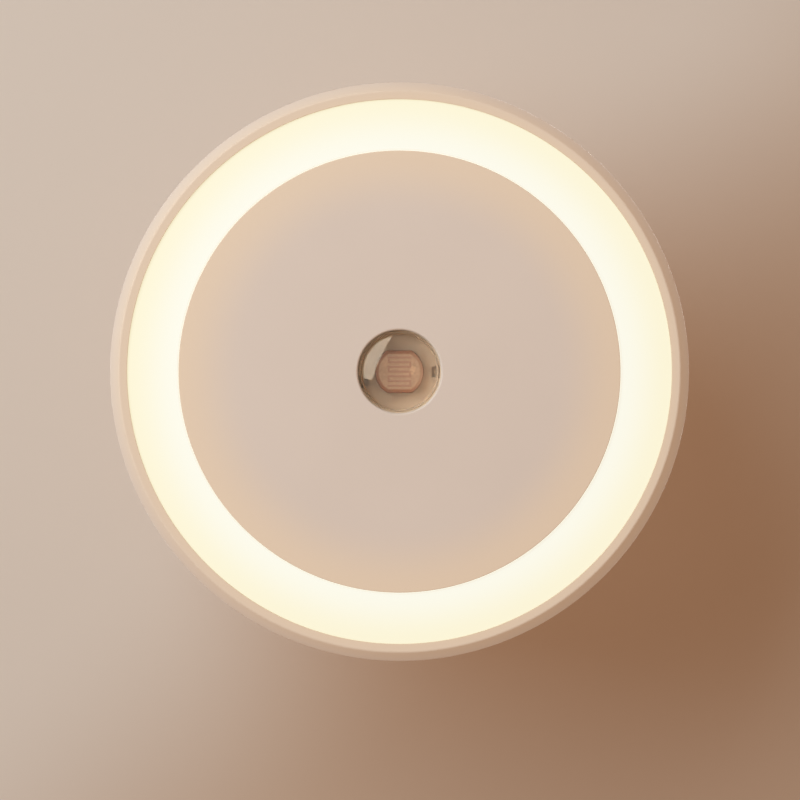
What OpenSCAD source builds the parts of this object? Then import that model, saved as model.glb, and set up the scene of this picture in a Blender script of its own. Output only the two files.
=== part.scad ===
// Round plug-in night light: a shallow drum with a lit ring round a plain disc, a light sensor
// behind a clear window in the middle, a slide switch under the rim and two flat plug blades.
// Each piece is drawn lying on its back: x to the right, y up, z from the back to the lit face.

/* [Drum] */
// Outer diameter of the drum
lamp_d = 64; // [62:1:80]
// Wall of the front housing
shell_wall = 2; // [1.6:0.1:2.6]
// Chamfer of the front rim
rim_chamfer = 1; // [0.4:0.1:1.4]
// Thickness of the deck that carries the lamp board
deck_t = 1.6; // [1.2:0.1:2.4]
// Hole in the middle of the deck, under the sensor
deck_hole_d = 12; // [9:0.5:16]
// Open seam between the front housing and the rear cover
seam_gap = 0.2; // [0.1:0.05:0.5]
// Diameter of the screw posts
post_d = 5.6; // [5:0.1:6.2]

/* [Rear cover] */
// Wall of the rear cover
cover_wall = 2; // [1.8:0.1:2.6]
// Rounding of the outer back edge
back_round = 4; // [3:0.25:5]
// Diameter of the boss that carries the blades
boss_d = 38; // [37:0.5:41]
// How far the boss stands behind the rest of the back
boss_depth = 4; // [3:0.25:6]
// Rounding of the boss edge
boss_round = 1; // [0.4:0.1:1.5]
// Wall of the centring lip
lip_t = 1.2; // [0.8:0.1:1.6]
// Height of the centring lip above the seam
lip_h = 1.5; // [1:0.1:2.5]
// Height of the pads that the screw posts stand on
pad_h = 0.9; // [0.5:0.1:1.5]
// Diameter of the standoffs under the power board
standoff_d = 4.6; // [4.2:0.1:5.2]

/* [Lit ring] */
// Visible width of the lit ring
glow_w = 5.6; // [4.6:0.1:7.4]
// How far the ring lies behind the rim
ring_recess = 0.3; // [0.2:0.1:1]
// Thickness of the ring's face
diffuser_t = 1.6; // [1.2:0.1:2.4]
// Thickness of the ring's two skirts
skirt_t = 1.4; // [1:0.1:1.8]
// Width of the ledge under the edge of the disc
ledge_w = 3; // [2.4:0.1:4]
// Rounding of the ring's outer front edge
ring_round = 0.1; // [0.05:0.05:0.8]
// Free height between the lamp board and the ring's face
chamber_h = 7; // [5.5:0.1:10]

/* [Disc] */
// Thickness of the disc
cap_t = 1.6; // [1.4:0.1:2.4]
// Rounding of the disc's edge
cap_round = 0.2; // [0.1:0.05:0.9]
// Rounding of the sensor hole's edge
hole_round = 0.35; // [0.1:0.05:0.6]
// Thickness of the skirt behind the disc
cap_skirt_t = 1.2; // [0.8:0.1:1.6]
// Length of the skirt behind the disc
cap_skirt_h = 4; // [2:0.5:6]
// Diameter of the posts behind the disc
cap_post_d = 4.4; // [4:0.1:5]
// Wall of the ring that centres the sensor window
nest_wall = 1.1; // [0.8:0.1:1.5]
// Depth of the ring that centres the sensor window
nest_h = 1.6; // [1.2:0.1:2.4]

/* [Dusk sensor] */
// Diameter of the sensor hole in the disc
window_d = 9.2; // [8.4:0.1:11]
// Wall of the clear window
window_wall = 0.4; // [0.3:0.1:1]
// How far the window's edge lies behind the face of the disc
window_recess = 1; // [0.6:0.1:1.2]
// Height of the window's dome
dome_h = 0.8; // [0.5:0.1:1.4]
// Width of the window's flange
flange_w = 1.1; // [0.8:0.1:1.6]
// Thickness of the window's flange
flange_t = 0.8; // [0.6:0.1:1.1]
// Wall of the sleeve that keeps stray light from the sensor
sleeve_wall = 1.4; // [1:0.1:1.8]
// Thickness of the sleeve's floor, which the cell rests on
sleeve_floor_t = 1.2; // [0.8:0.1:1.6]
// Length of the two moulding slots in the sleeve's floor
sleeve_slot_l = 1.2; // [0.8:0.1:1.6]
// Width of the moulding slots
sleeve_slot_w = 0.5; // [0.3:0.05:0.8]
// Depth of the moulding slots
sleeve_slot_depth = 0.5; // [0.2:0.1:0.7]
// Distance of the moulding slots from the sleeve's wall
sleeve_slot_edge = 0.25; // [0.1:0.05:0.4]
// Diameter of the sensor cell
cell_d = 5.4; // [4.8:0.1:6]
// Width of the cell across its two flats
cell_flat_w = 4.7; // [4.2:0.1:4.8]
// Thickness of the cell
cell_t = 2; // [1.6:0.1:2.6]
// How far the cell's face lies behind the face of the disc
cell_depth = 3.6; // [2.8:0.1:4.6]
// Rows of the zig-zag track on the cell
track_rows = 7; // [4:1:7]
// Distance between the rows
track_pitch = 0.52; // [0.44:0.02:0.56]
// Width of the track
track_w = 0.22; // [0.14:0.02:0.28]
// Length of the rows
track_l = 2.6; // [2:0.1:3]
// Thickness of the track
track_t = 0.1; // [0.05:0.01:0.2]
// Distance between the cell's leads
cell_lead_pitch = 3.4; // [2.6:0.1:3.8]

/* [Plug] */
// Distance between the middles of the blades
blade_pitch = 12.7; // [12:0.1:13.5]
// Width of a blade
blade_w = 6.3; // [5.8:0.1:7]
// Thickness of a blade
blade_t = 1.5; // [1.3:0.1:1.8]
// Length of a blade behind the boss
blade_l = 16; // [14:0.5:19]
// Chamfer at the tip of a blade
blade_tip = 1.2; // [0.6:0.1:2]
// Diameter of the latch hole in a blade
blade_hole_d = 3.2; // [2.6:0.1:3.6]
// Distance of the latch hole's middle from the blade's tip
blade_hole_end = 4.3; // [3.8:0.1:5]
// How far a blade's shoulder stands out on each side
shoulder_step = 1.2; // [0.8:0.1:1.6]
// Height of a blade's shoulder
shoulder_h = 1.2; // [0.8:0.1:1.6]
// Width of a blade's solder tail
tail_w = 3; // [2:0.1:3.4]
// How far a solder tail stands out of the power board
tail_out = 1.2; // [0.6:0.1:2]
// Thickness of the blade carrier over the shoulders
carrier_t = 1.4; // [1:0.1:2]
// Rim of the blade carrier round the shoulders
carrier_rim = 1.2; // [0.8:0.1:1.6]
// Length of the blade carrier beyond each blade
carrier_end = 3.6; // [2.5:0.1:3.8]
// Diameter of the heat stakes that hold the carrier
stake_d = 2; // [1.6:0.1:2.4]
// Distance of each heat stake from the middle
stake_y = 3.4; // [2.8:0.1:3.8]
// Diameter of the stakes' formed heads
stake_head_d = 3.2; // [2.8:0.1:3.8]
// Height of the stakes' formed heads
stake_head_h = 0.5; // [0.3:0.1:0.8]

/* [Mode switch] */
// Travel of the knob to each side of the middle
switch_travel = 2; // [1.5:0.1:2.4]
// Width of the knob along its travel
knob_w = 6; // [5:0.1:6.8]
// Height of the knob
knob_h = 2.4; // [2:0.1:2.8]
// How far the knob stands out of its flat
knob_proud = 0.7; // [0.4:0.1:0.9]
// Thickness of the knob's flange
knob_flange_t = 0.8; // [0.6:0.1:1]
// Reach of the flange past the knob along the travel
knob_flange_x = 2; // [1:0.1:2.2]
// Reach of the flange past the knob across the travel
knob_flange_z = 0.8; // [0.5:0.1:1]
// Number of grip grooves on the knob
groove_count = 3; // [2:1:4]
// Distance between the grip grooves
groove_pitch = 1.3; // [1:0.1:1.4]
// Width of a grip groove
groove_w = 0.5; // [0.3:0.1:0.7]
// Depth of a grip groove
groove_depth = 0.3; // [0.1:0.05:0.4]
// Depth of the flat that the knob slides in
switch_flat = 1; // [0.8:0.1:1.2]
// Wall behind that flat
switch_wall = 1.8; // [1.4:0.1:2.2]
// Room for a fingertip above and below the knob
finger_room = 1; // [0.6:0.1:1.4]
// Running clearance of the knob and its flange
slide_gap = 0.2; // [0.15:0.05:0.3]
// Length of the switch body
switch_l = 10.6; // [9:0.1:12]
// Depth of the switch body
switch_w = 4.6; // [4:0.1:5.4]
// Height of the switch body
switch_h = 5.2; // [4.6:0.1:5.4]
// Height of the lever above the power board
lever_h = 3.3; // [3:0.1:3.5]
// Width of the lever
lever_w = 1.5; // [1.2:0.1:1.8]
// Length of the lever inside the switch body
lever_root = 1.8; // [1.2:0.1:2.6]
// Free length of the lever between the body and the flange
lever_free = 1; // [0.5:0.1:1.5]
// Length of the lever inside the knob
lever_grip = 1.8; // [1.2:0.1:2.2]
// Number of switch terminals
terminal_count = 4; // [3:1:5]
// Distance between the switch terminals
terminal_pitch = 2.5; // [2:0.1:2.6]
// Diameter of a switch terminal
terminal_d = 0.7; // [0.5:0.1:0.9]

/* [Boards] */
// Thickness of the power board
power_board_t = 1.2; // [1:0.1:1.6]
// Space behind the power board, over the cover's ring
board_lift = 1; // [0.7:0.1:2]
// Space between the power board and the screw posts
board_gap = 1.2; // [0.6:0.1:1.6]
// Margin of the power board's tongue beside the switch
tongue_margin = 0.7; // [0.4:0.1:1]
// Free height over the tallest part on the power board
headroom = 0.6; // [0.3:0.1:2]
// Thickness of the lamp board
led_board_t = 1.2; // [1:0.1:1.6]
// Number of lamp chips
led_count = 18; // [12:1:24]
// Length of a lamp chip
led_l = 3.5; // [3:0.1:4]
// Width of a lamp chip
led_w = 2.8; // [2.4:0.1:3.2]
// Height of a lamp chip
led_h = 0.7; // [0.5:0.1:1]
// Diameter of the yellow patch on a lamp chip
phosphor_d = 2.2; // [1.6:0.1:2.4]
// Thickness of the yellow patch
phosphor_t = 0.1; // [0.05:0.01:0.2]
// Thickness of the white reflector sheet
sheet_t = 0.2; // [0.1:0.05:0.4]
// Margin of the reflector sheet beside the skirts and the chips
sheet_gap = 0.2; // [0.1:0.05:0.4]

/* [Board parts] */
// Length of the film capacitor
film_l = 13; // [11:0.5:15]
// Width of the film capacitor
film_w = 10; // [8:0.5:10]
// Height of the film capacitor
film_h = 5.5; // [5:0.1:7]
// Distance of the film capacitor from the line of the blades
film_y = 4.2; // [3.6:0.1:4.4]
// Distance between the film capacitor's leads
film_lead_pitch = 10; // [7.5:0.5:10]
// Diameter of the smoothing capacitor
smooth_d = 5; // [4:0.1:5.2]
// Length of the smoothing capacitor
smooth_l = 9; // [7:0.5:9]
// Distance of the smoothing capacitor below the line of the blades
smooth_y = 6.2; // [5.9:0.1:6.6]
// Distance between the smoothing capacitor's leads
smooth_lead_pitch = 2; // [1.5:0.1:2.5]
// Length of the rectifier
rectifier_l = 4.7; // [4:0.1:5.2]
// Width of the rectifier
rectifier_w = 3.9; // [3.4:0.1:4.4]
// Height of the rectifier
rectifier_h = 2.6; // [2:0.1:3]
// Distance between the rectifier's feet
rectifier_foot_pitch = 2.5; // [2:0.1:2.8]
// Width of a rectifier foot
rectifier_foot_w = 0.7; // [0.5:0.1:0.9]
// Length of a rectifier foot
rectifier_foot_l = 1.1; // [0.8:0.1:1.4]
// Thickness of a rectifier foot
rectifier_foot_t = 0.3; // [0.2:0.05:0.4]
// Distance of the rectifier and the transistor from the edge of the power board, across
low_parts_margin = 8; // [7.4:0.1:8.6]
// Distance of the rectifier and the transistor below the middle
low_parts_y = 8; // [7:0.1:8.6]
// Diameter of the transistor
transistor_d = 4.6; // [4:0.1:5]
// Depth of the transistor's flat face from its middle
transistor_flat = 1.2; // [0.9:0.1:1.5]
// Height of the transistor
transistor_h = 4.6; // [4:0.1:5]
// Distance between the transistor's legs
transistor_pitch = 1.27; // [1:0.01:1.4]
// Diameter of a resistor
resistor_d = 2.4; // [2:0.1:2.6]
// Length of a resistor
resistor_l = 6.5; // [5.5:0.1:6.8]
// Straight length of a lead before its bend
lead_reach = 1.2; // [0.8:0.1:1.4]
// Distance of the two resistors from the edge of the power board, across
resistor_margin = 7.6; // [7:0.1:8.4]
// Distance of the resistors' middles above the middle of the board
resistor_y = 8.8; // [8.4:0.1:9.2]
// Diameter of the parts' leads
lead_d = 0.5; // [0.4:0.05:0.7]
// Distance of the link pins below the middle
link_y = 10.6; // [10.4:0.1:11.4]
// Number of link pins
pin_count = 4; // [2:1:4]
// Distance between the link pins
pin_pitch = 2.54; // [2:0.01:2.6]
// Diameter of a link pin
pin_d = 0.64; // [0.5:0.02:0.7]
// Width of the link pins' block
pin_block_w = 2.5; // [2:0.1:2.6]
// Height of the link pins' block
pin_block_h = 2.5; // [2:0.1:4]
// How far the pins and leads stand out of a soldered board
solder_out = 0.6; // [0.3:0.1:0.8]

/* [Screws] */
// Shank diameter of the cover screws
cover_screw_d = 1.8; // [1.6:0.1:2.2]
// Shank length of the cover screws
cover_screw_l = 6.6; // [5:0.1:7]
// Head diameter of the cover screws
cover_head_d = 4.2; // [3.6:0.1:4.4]
// Head height of the cover screws
cover_head_h = 1.2; // [1:0.1:1.2]
// Depth of the recesses for the cover screws' heads
recess_depth = 1.3; // [1.2:0.05:1.5]
// Shank diameter of the disc screws
cap_screw_d = 1.8; // [1.6:0.1:2]
// Shank length of the disc screws
cap_screw_l = 7.5; // [5.5:0.1:8.5]
// Head diameter of the disc screws
cap_head_d = 3.6; // [3.2:0.1:3.8]
// Head height of the disc screws
cap_head_h = 1.3; // [1:0.1:1.5]
// Shank diameter of the power board screws
board_screw_d = 1.6; // [1.4:0.1:1.8]
// Shank length of the power board screws
board_screw_l = 4.6; // [3.5:0.1:5]
// Head diameter of the power board screws
board_head_d = 3.6; // [3.2:0.1:3.8]
// Head height of the power board screws
board_head_h = 1.3; // [1:0.1:1.5]
// Width of the cross recess in a head
cross_w = 0.5; // [0.4:0.05:0.6]
// Depth of the cross recess in a head
cross_depth = 0.6; // [0.4:0.05:0.7]
// Margin of the cross recess inside the edge of a head
cross_margin = 0.8; // [0.6:0.1:1]

/* [Fits] */
// Clearance between moulded parts that locate each other
fit_gap = 0.1; // [0.05:0.01:0.15]
// Clearance of a lead or a screw thread in its hole
hole_gap = 0.05; // [0.03:0.01:0.08]
// Clearance of a screw shank in a hole that it passes freely
shank_gap = 0.2; // [0.1:0.05:0.3]
// Space between the edge of the lamp board and the housing
led_board_gap = 0.3; // [0.2:0.05:0.5]
// Space between the lip and the screw posts
post_gap = 1.9; // [1.5:0.1:2.2]
// Space between the disc's posts and its skirt
cap_post_gap = 1; // [0.5:0.1:1.5]
// Space between the standoffs and the boss wall
standoff_gap = 0.5; // [0.2:0.1:0.7]
// Space between the leads' ends and the cover
lead_clear = 0.3; // [0.2:0.05:0.4]
// Space under the parts that lie on the power board
lying_lift = 0.05; // [0.03:0.01:0.1]
// Space round the link pins' block in the deck's slot
pin_slot_gap = 0.2; // [0.1:0.05:0.4]

/* [Hidden] */
$fn = 96;
// Reach of a cutting shape past the face that it opens
cut = 1;
shell_colour = "#d8c3ae";
ring_colour = "#fdf6de";
clear_colour = "#c9b79f";
cell_colour = "#b98d74";
track_colour = "#8a5d43";
board_colour = "#dfe3da";
power_board_colour = "#8a7a45";
dark_colour = "#2e2c2b";
film_colour = "#b5462f";
metal_colour = "#c9c6c0";
resistor_colour = "#c2ab84";
phosphor_colour = "#e8d25a";
white_colour = "#f1eee8";
knob_colour = "#cdb69f";

// Levels from the back face outwards, each resting on the one before
floor_z = cover_wall;
ring_back_z = boss_depth;
ring_floor_z = ring_back_z + cover_wall;
seam_z = ring_back_z + back_round;
housing_z = seam_z + seam_gap;
pad_z = ring_floor_z + pad_h;
board_z = ring_floor_z + board_lift;
board_top_z = board_z + power_board_t;
lead_end_z = ring_floor_z + lead_clear;
tallest = max(film_h, smooth_d + lying_lift, switch_h, transistor_h, pin_block_h);
deck_z = board_top_z + tallest + headroom;
deck_middle_z = deck_z + deck_t / 2;
deck_top_z = deck_z + deck_t;
led_top_z = deck_top_z + led_board_t;
ceiling_z = led_top_z + chamber_h;
ring_face_z = ceiling_z + diffuser_t;
face_z = ring_face_z + ring_recess;
cap_back_z = face_z - cap_t;
ledge_bottom_z = cap_back_z - diffuser_t;

// Radii from the outer wall inwards
outer_r = lamp_d / 2;
mouth_r = outer_r - shell_wall;
ring_outer_r = mouth_r - fit_gap;
cap_r = mouth_r - glow_w;
step_r = cap_r + fit_gap;
ring_inner_r = step_r - ledge_w;
track_outer_r = ring_outer_r - skirt_t;
track_inner_r = ring_inner_r + skirt_t;
led_r = (track_outer_r + track_inner_r) / 2;
led_board_r = mouth_r - led_board_gap;
cap_skirt_outer_r = ring_inner_r - fit_gap;
cap_skirt_inner_r = cap_skirt_outer_r - cap_skirt_t;
cap_post_r = cap_skirt_inner_r - cap_post_gap - cap_post_d / 2;
cap_post_angles = [30, 150, 270];
lip_outer_r = mouth_r - fit_gap;
lip_inner_r = lip_outer_r - lip_t;
lip_root_r = (mouth_r + outer_r) / 2;
post_r = lip_inner_r - post_gap - post_d / 2;
post_angles = [90, 210, 330];
power_board_r = post_r - post_d / 2 - board_gap;
boss_r = boss_d / 2;
boss_inner_r = boss_r - cover_wall;
standoff_x = boss_inner_r - standoff_gap - standoff_d / 2;

// Sensor, from the window's edge inwards
window_r = window_d / 2;
barrel_r = window_r - fit_gap;
barrel_top_z = face_z - window_recess;
dome_r = (barrel_r * barrel_r + dome_h * dome_h) / (2 * dome_h);
dome_centre_z = barrel_top_z + dome_h - dome_r;
flange_r = window_r + flange_w;
flange_z = cap_back_z - flange_t;
sleeve_inner_r = flange_r - sleeve_wall;
nest_inner_r = flange_r + fit_gap;
cell_face_z = face_z - cell_depth;
cell_z = cell_face_z - cell_t;
sleeve_slot_r = sleeve_inner_r - sleeve_slot_edge - sleeve_slot_w / 2;
sleeve_slot_angles = [0, 195];
cell_lead_end_z = deck_top_z - solder_out;

// Plug, from the blades outwards
blade_x = blade_pitch / 2;
shoulder_w = blade_w + 2 * shoulder_step;
shoulder_z = floor_z + shoulder_h;
carrier_z = shoulder_z + carrier_t;
carrier_half_l = blade_x + blade_t / 2 + carrier_end;
carrier_half_w = shoulder_w / 2 + carrier_rim;
tail_top_z = board_top_z + tail_out;

// Switch, from the outer flat inwards: places along y are distances below the middle
flat_y = outer_r - switch_flat;
flat_inner_y = flat_y - switch_wall;
knob_tip_y = flat_y + knob_proud;
knob_flange_y = flat_inner_y - slide_gap;
knob_back_y = knob_flange_y - knob_flange_t;
lever_tip_y = knob_back_y + lever_grip;
switch_face_y = knob_back_y - lever_free;
lever_root_y = switch_face_y - lever_root;
switch_back_y = switch_face_y - switch_w;
lever_z = board_top_z + lever_h;
slot_half_x = knob_w / 2 + switch_travel + slide_gap;
slot_half_z = knob_h / 2 + slide_gap;
knob_flange_half_x = knob_w / 2 + knob_flange_x;
knob_flange_half_z = knob_h / 2 + knob_flange_z;
flat_half_z = knob_h / 2 + finger_room;
lip_gap_half = knob_flange_half_x + switch_travel + slide_gap;
lever_slot_half_x = lever_w / 2 + switch_travel + fit_gap;
lever_slot_half_z = lever_w / 2 + fit_gap;
tongue_half_w = switch_l / 2 + tongue_margin;

// Parts on the power board
film_middle_y = film_y + film_w / 2;
low_parts_x = power_board_r - low_parts_margin;
resistor_x = power_board_r - resistor_margin;
lying_z = board_top_z + lying_lift + resistor_d / 2;
smooth_z = board_top_z + lying_lift + smooth_d / 2;
smooth_lead_x = smooth_l / 2 + lead_reach;
resistor_lead_x = resistor_l / 2 + lead_reach;
pin_block_l = pin_count * pin_pitch;
pilot_d = cover_screw_d + 2 * hole_gap;
pilot_end_z = min(ring_back_z + recess_depth + cover_screw_l + fit_gap, deck_z);
cap_pilot_d = cap_screw_d + 2 * hole_gap;
cap_pilot_end_z = min(deck_z + cap_screw_l + fit_gap, cap_back_z);
board_pilot_end_z = board_top_z - board_screw_l - fit_gap;

function spread(i, count, pitch) = (i - (count - 1) / 2) * pitch;

// Stands up a piece that was drawn lying on its back
module upright() {
  rotate([90, 0, 0]) children();
}

// Copies at one radius
module around(r, angles) {
  for (a = angles)
    rotate(a) translate([r, 0, 0]) children();
}

// Box between two places on each axis
module block(x, y, z) {
  translate([x[0], y[0], z[0]]) cube([x[1] - x[0], y[1] - y[0], z[1] - z[0]]);
}

// Round rod along z between two levels
module rod(d, z) {
  translate([0, 0, z[0]]) cylinder(d = d, h = z[1] - z[0]);
}

// Section of a round wall between two radii and two levels, before it is turned
module wall_section(r, z) {
  translate([r[0], z[0]]) square([r[1] - r[0], z[1] - z[0]]);
}

// What a rounding takes off a corner that points to +x and +y
module corner_off(r) {
  translate([-r, -r])
    difference() {
      square(r + cut);
      circle(r);
    }
}

// Screw along z: its head lies below the seat at z = 0 and its shank above
module pan_screw(shank_d, shank_l, head_d, head_h) {
  cross_l = head_d - 2 * cross_margin;
  head_round = head_h / 2;
  difference() {
    union() {
      rod(shank_d, [0, shank_l]);
      rotate_extrude()
        difference() {
          wall_section([0, head_d / 2], [-head_h, 0]);
          translate([head_d / 2, -head_h]) mirror([0, 1]) corner_off(head_round);
        }
    }
    for (a = [0, 90])
      rotate(a)
        block([-cross_l / 2, cross_l / 2], [-cross_w / 2, cross_w / 2],
          [-head_h - cut, cross_depth - head_h]);
  }
}

// Lead that runs along x from a part and bends down through the board
module bent_lead(from_x, to_x, z) {
  translate([from_x, 0, z]) rotate([0, 90, 0]) cylinder(d = lead_d, h = to_x - from_x);
  translate([to_x, 0, z]) sphere(d = lead_d);
  translate([to_x, 0, 0]) rod(lead_d, [lead_end_z, z]);
}

// Resistor that lies up and down the board, at its left or right side, with both leads bent down
module lying_resistor(side) {
  translate([side * resistor_x, resistor_y, 0])
    rotate(90) {
      translate([-resistor_l / 2, 0, lying_z]) rotate([0, 90, 0]) cylinder(d = resistor_d, h = resistor_l);
      for (end = [0, 1])
        mirror([end, 0, 0]) bent_lead(resistor_l / 2 - lead_d, resistor_lead_x, lying_z);
    }
}

module front_housing() {
  color(shell_colour)
    upright()
      difference() {
        union() {
          rotate_extrude() housing_section();
          around(post_r, post_angles) rod(post_d, [pad_z, deck_middle_z]);
          intersection() {
            rod(2 * mouth_r + shell_wall, [housing_z, deck_middle_z]);
            block([-mouth_r, mouth_r], [-outer_r, -flat_inner_y], [housing_z, deck_middle_z]);
          }
        }
        around(post_r, post_angles) rod(pilot_d, [pad_z - cut, pilot_end_z]);
        around(cap_post_r, cap_post_angles)
          rod(cap_screw_d + 2 * shank_gap, [deck_z - cut, deck_top_z + cut]);
        deck_slot();
        block([-outer_r, outer_r], [-outer_r - cut, -flat_y],
          [lever_z - flat_half_z, lever_z + flat_half_z]);
        block([-slot_half_x, slot_half_x], [-outer_r - cut, -flat_inner_y + cut],
          [lever_z - slot_half_z, lever_z + slot_half_z]);
      }
}

// Drum wall with its chamfered rim, and the deck
module housing_section() {
  polygon([
    [mouth_r, housing_z], [outer_r, housing_z], [outer_r, face_z - rim_chamfer],
    [outer_r - rim_chamfer, face_z], [mouth_r, face_z]
  ]);
  wall_section([deck_hole_d / 2, mouth_r + shell_wall / 2], [deck_z, deck_top_z]);
}

// Opening in the deck for the link pins
module deck_slot() {
  half_l = pin_block_l / 2 + pin_slot_gap;
  half_w = pin_block_w / 2 + pin_slot_gap;
  block([-half_l, half_l], [-link_y - half_w, -link_y + half_w], [deck_z - cut, deck_top_z + cut]);
}

module rear_cover() {
  color(shell_colour)
    upright()
      difference() {
        union() {
          rotate_extrude() cover_section();
          around(post_r, post_angles) rod(post_d, [ring_floor_z - cover_wall / 2, pad_z]);
          for (side = [-1, 1])
            translate([side * standoff_x, 0, 0]) rod(standoff_d, [floor_z / 2, board_z]);
          for (side = [-1, 1])
            translate([0, side * stake_y, 0]) heat_stake();
        }
        for (side = [-1, 1])
          blade_slot(side);
        around(post_r, post_angles) {
          rod(cover_head_d + 2 * shank_gap, [ring_back_z - cut, ring_back_z + recess_depth]);
          rod(cover_screw_d + 2 * shank_gap, [ring_back_z, pad_z + cut]);
        }
        for (side = [-1, 1])
          translate([side * standoff_x, 0, 0])
            rod(board_screw_d + 2 * hole_gap, [board_pilot_end_z, board_z + cut]);
        block([-lip_gap_half, lip_gap_half], [-outer_r, 0], [seam_z, seam_z + lip_h + cut]);
      }
}

// Boss, ring-shaped back, rounded edge and centring lip
module cover_section() {
  edge_x = outer_r - back_round;
  difference() {
    wall_section([0, boss_r], [0, floor_z]);
    translate([boss_r, 0]) mirror([0, 1]) corner_off(boss_round);
  }
  wall_section([boss_inner_r, boss_r], [floor_z / 2 + boss_round / 2, ring_floor_z]);
  wall_section([boss_inner_r, edge_x], [ring_back_z, ring_floor_z]);
  translate([edge_x, seam_z])
    intersection() {
      difference() {
        circle(back_round);
        circle(back_round - cover_wall);
      }
      translate([0, -back_round - cut]) square(back_round + cut);
    }
  wall_section([lip_inner_r, lip_root_r], [ring_floor_z, seam_z]);
  wall_section([lip_inner_r, lip_outer_r], [ring_floor_z, seam_z + lip_h]);
}

// Stake whose end is formed over the blade carrier
module heat_stake() {
  rod(stake_d, [floor_z / 2, carrier_z + stake_head_h / 2]);
  rod(stake_head_d, [carrier_z, carrier_z + stake_head_h]);
}

// Slot in the boss for one blade
module blade_slot(side) {
  half_t = blade_t / 2 + hole_gap;
  half_w = blade_w / 2 + hole_gap;
  translate([side * blade_x, 0, 0])
    block([-half_t, half_t], [-half_w, half_w], [-cut, floor_z + cut]);
}

module diffuser_ring() {
  color(ring_colour)
    upright()
      rotate_extrude()
        difference() {
          union() {
            wall_section([step_r, ring_outer_r], [ceiling_z, ring_face_z]);
            wall_section([ring_inner_r, step_r + diffuser_t / 2], [ledge_bottom_z, cap_back_z]);
            wall_section([step_r, step_r + diffuser_t / 2], [ledge_bottom_z, ring_face_z]);
            wall_section([track_outer_r, ring_outer_r], [led_top_z, ring_face_z]);
            wall_section([ring_inner_r, track_inner_r], [led_top_z, cap_back_z]);
          }
          translate([ring_outer_r, ring_face_z]) corner_off(ring_round);
        }
}

module centre_cap() {
  color(shell_colour)
    upright()
      difference() {
        union() {
          rotate_extrude() cap_section();
          around(cap_post_r, cap_post_angles) rod(cap_post_d, [led_top_z, cap_back_z + cap_t / 2]);
        }
        around(cap_post_r, cap_post_angles) rod(cap_pilot_d, [led_top_z - cut, cap_pilot_end_z]);
      }
}

// Disc with its rounded edges, the skirt in the ring and the nest of the window
module cap_section() {
  difference() {
    wall_section([window_r, cap_r], [cap_back_z, face_z]);
    translate([cap_r, face_z]) corner_off(cap_round);
    translate([window_r, face_z]) mirror([1, 0]) corner_off(hole_round);
  }
  wall_section([cap_skirt_inner_r, cap_skirt_outer_r], [cap_back_z - cap_skirt_h, cap_back_z + cap_t / 2]);
  wall_section([nest_inner_r, nest_inner_r + nest_wall], [cap_back_z - nest_h, cap_back_z + cap_t / 2]);
}

module sensor_window() {
  color(clear_colour, 0.5)
    upright()
      rotate_extrude()
        difference() {
          union() {
            wall_section([0, flange_r], [flange_z, cap_back_z]);
            wall_section([0, barrel_r], [flange_z, barrel_top_z]);
            intersection() {
              translate([0, dome_centre_z]) circle(dome_r);
              wall_section([0, barrel_r], [flange_z, face_z + dome_h]);
            }
          }
          intersection() {
            translate([0, dome_centre_z]) circle(dome_r - window_wall);
            wall_section([-cut, barrel_r - window_wall], [flange_z - cut, face_z + dome_h]);
          }
        }
}

module sensor_sleeve() {
  floor_levels = [cell_z - sleeve_floor_t, cell_z];
  through = [floor_levels[0] - cut, floor_levels[1] + cut];
  color(shell_colour)
    upright()
      difference() {
        rotate_extrude() {
          wall_section([sleeve_inner_r, flange_r], [led_top_z, flange_z]);
          wall_section([0, sleeve_inner_r + sleeve_wall / 2], floor_levels);
        }
        for (side = [-1, 1])
          translate([side * cell_lead_pitch / 2, 0, 0]) rod(lead_d + 2 * hole_gap, through);
        around(sleeve_slot_r, sleeve_slot_angles)
          block([-sleeve_slot_w / 2, sleeve_slot_w / 2], [-sleeve_slot_l / 2, sleeve_slot_l / 2],
            [cell_z - sleeve_slot_depth, cell_z + cut]);
      }
}

module photoresistor_base() {
  color(cell_colour)
    upright()
      intersection() {
        rod(cell_d, [cell_z, cell_face_z]);
        block([-cell_d, cell_d], [-cell_flat_w / 2, cell_flat_w / 2], [cell_z, cell_face_z]);
      }
}

module photoresistor_track() {
  color(track_colour)
    upright() translate([0, 0, cell_face_z]) linear_extrude(track_t) zigzag();
}

// Rows joined at alternate ends
module zigzag() {
  end_x = (track_l - track_w) / 2;
  for (i = [0 : track_rows - 1])
    translate([-track_l / 2, spread(i, track_rows, track_pitch) - track_w / 2]) square([track_l, track_w]);
  for (i = [0 : track_rows - 2])
    translate([(i % 2 == 0 ? end_x : -end_x) - track_w / 2, spread(i, track_rows, track_pitch)])
      square([track_w, track_pitch]);
}

module photoresistor_leads() {
  color(metal_colour)
    upright()
      for (side = [-1, 1])
        translate([side * cell_lead_pitch / 2, 0, 0]) rod(lead_d, [cell_lead_end_z, cell_z]);
}

module led_board() {
  color(board_colour)
    upright()
      difference() {
        rod(2 * led_board_r, [deck_top_z, led_top_z]);
        for (side = [-1, 1])
          translate([side * cell_lead_pitch / 2, 0, 0]) led_board_hole(lead_d + 2 * hole_gap);
        for (i = [0 : pin_count - 1])
          translate([spread(i, pin_count, pin_pitch), -link_y, 0]) led_board_hole(pin_d + 2 * hole_gap);
        around(cap_post_r, cap_post_angles) led_board_hole(cap_screw_d + 2 * shank_gap);
      }
}

module led_board_hole(d) {
  rod(d, [deck_top_z - cut, led_top_z + cut]);
}

// Places of the lamp chips, each turned to face outwards
module at_leds() {
  around(led_r, [for (i = [0 : led_count - 1]) i * 360 / led_count]) children();
}

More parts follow.
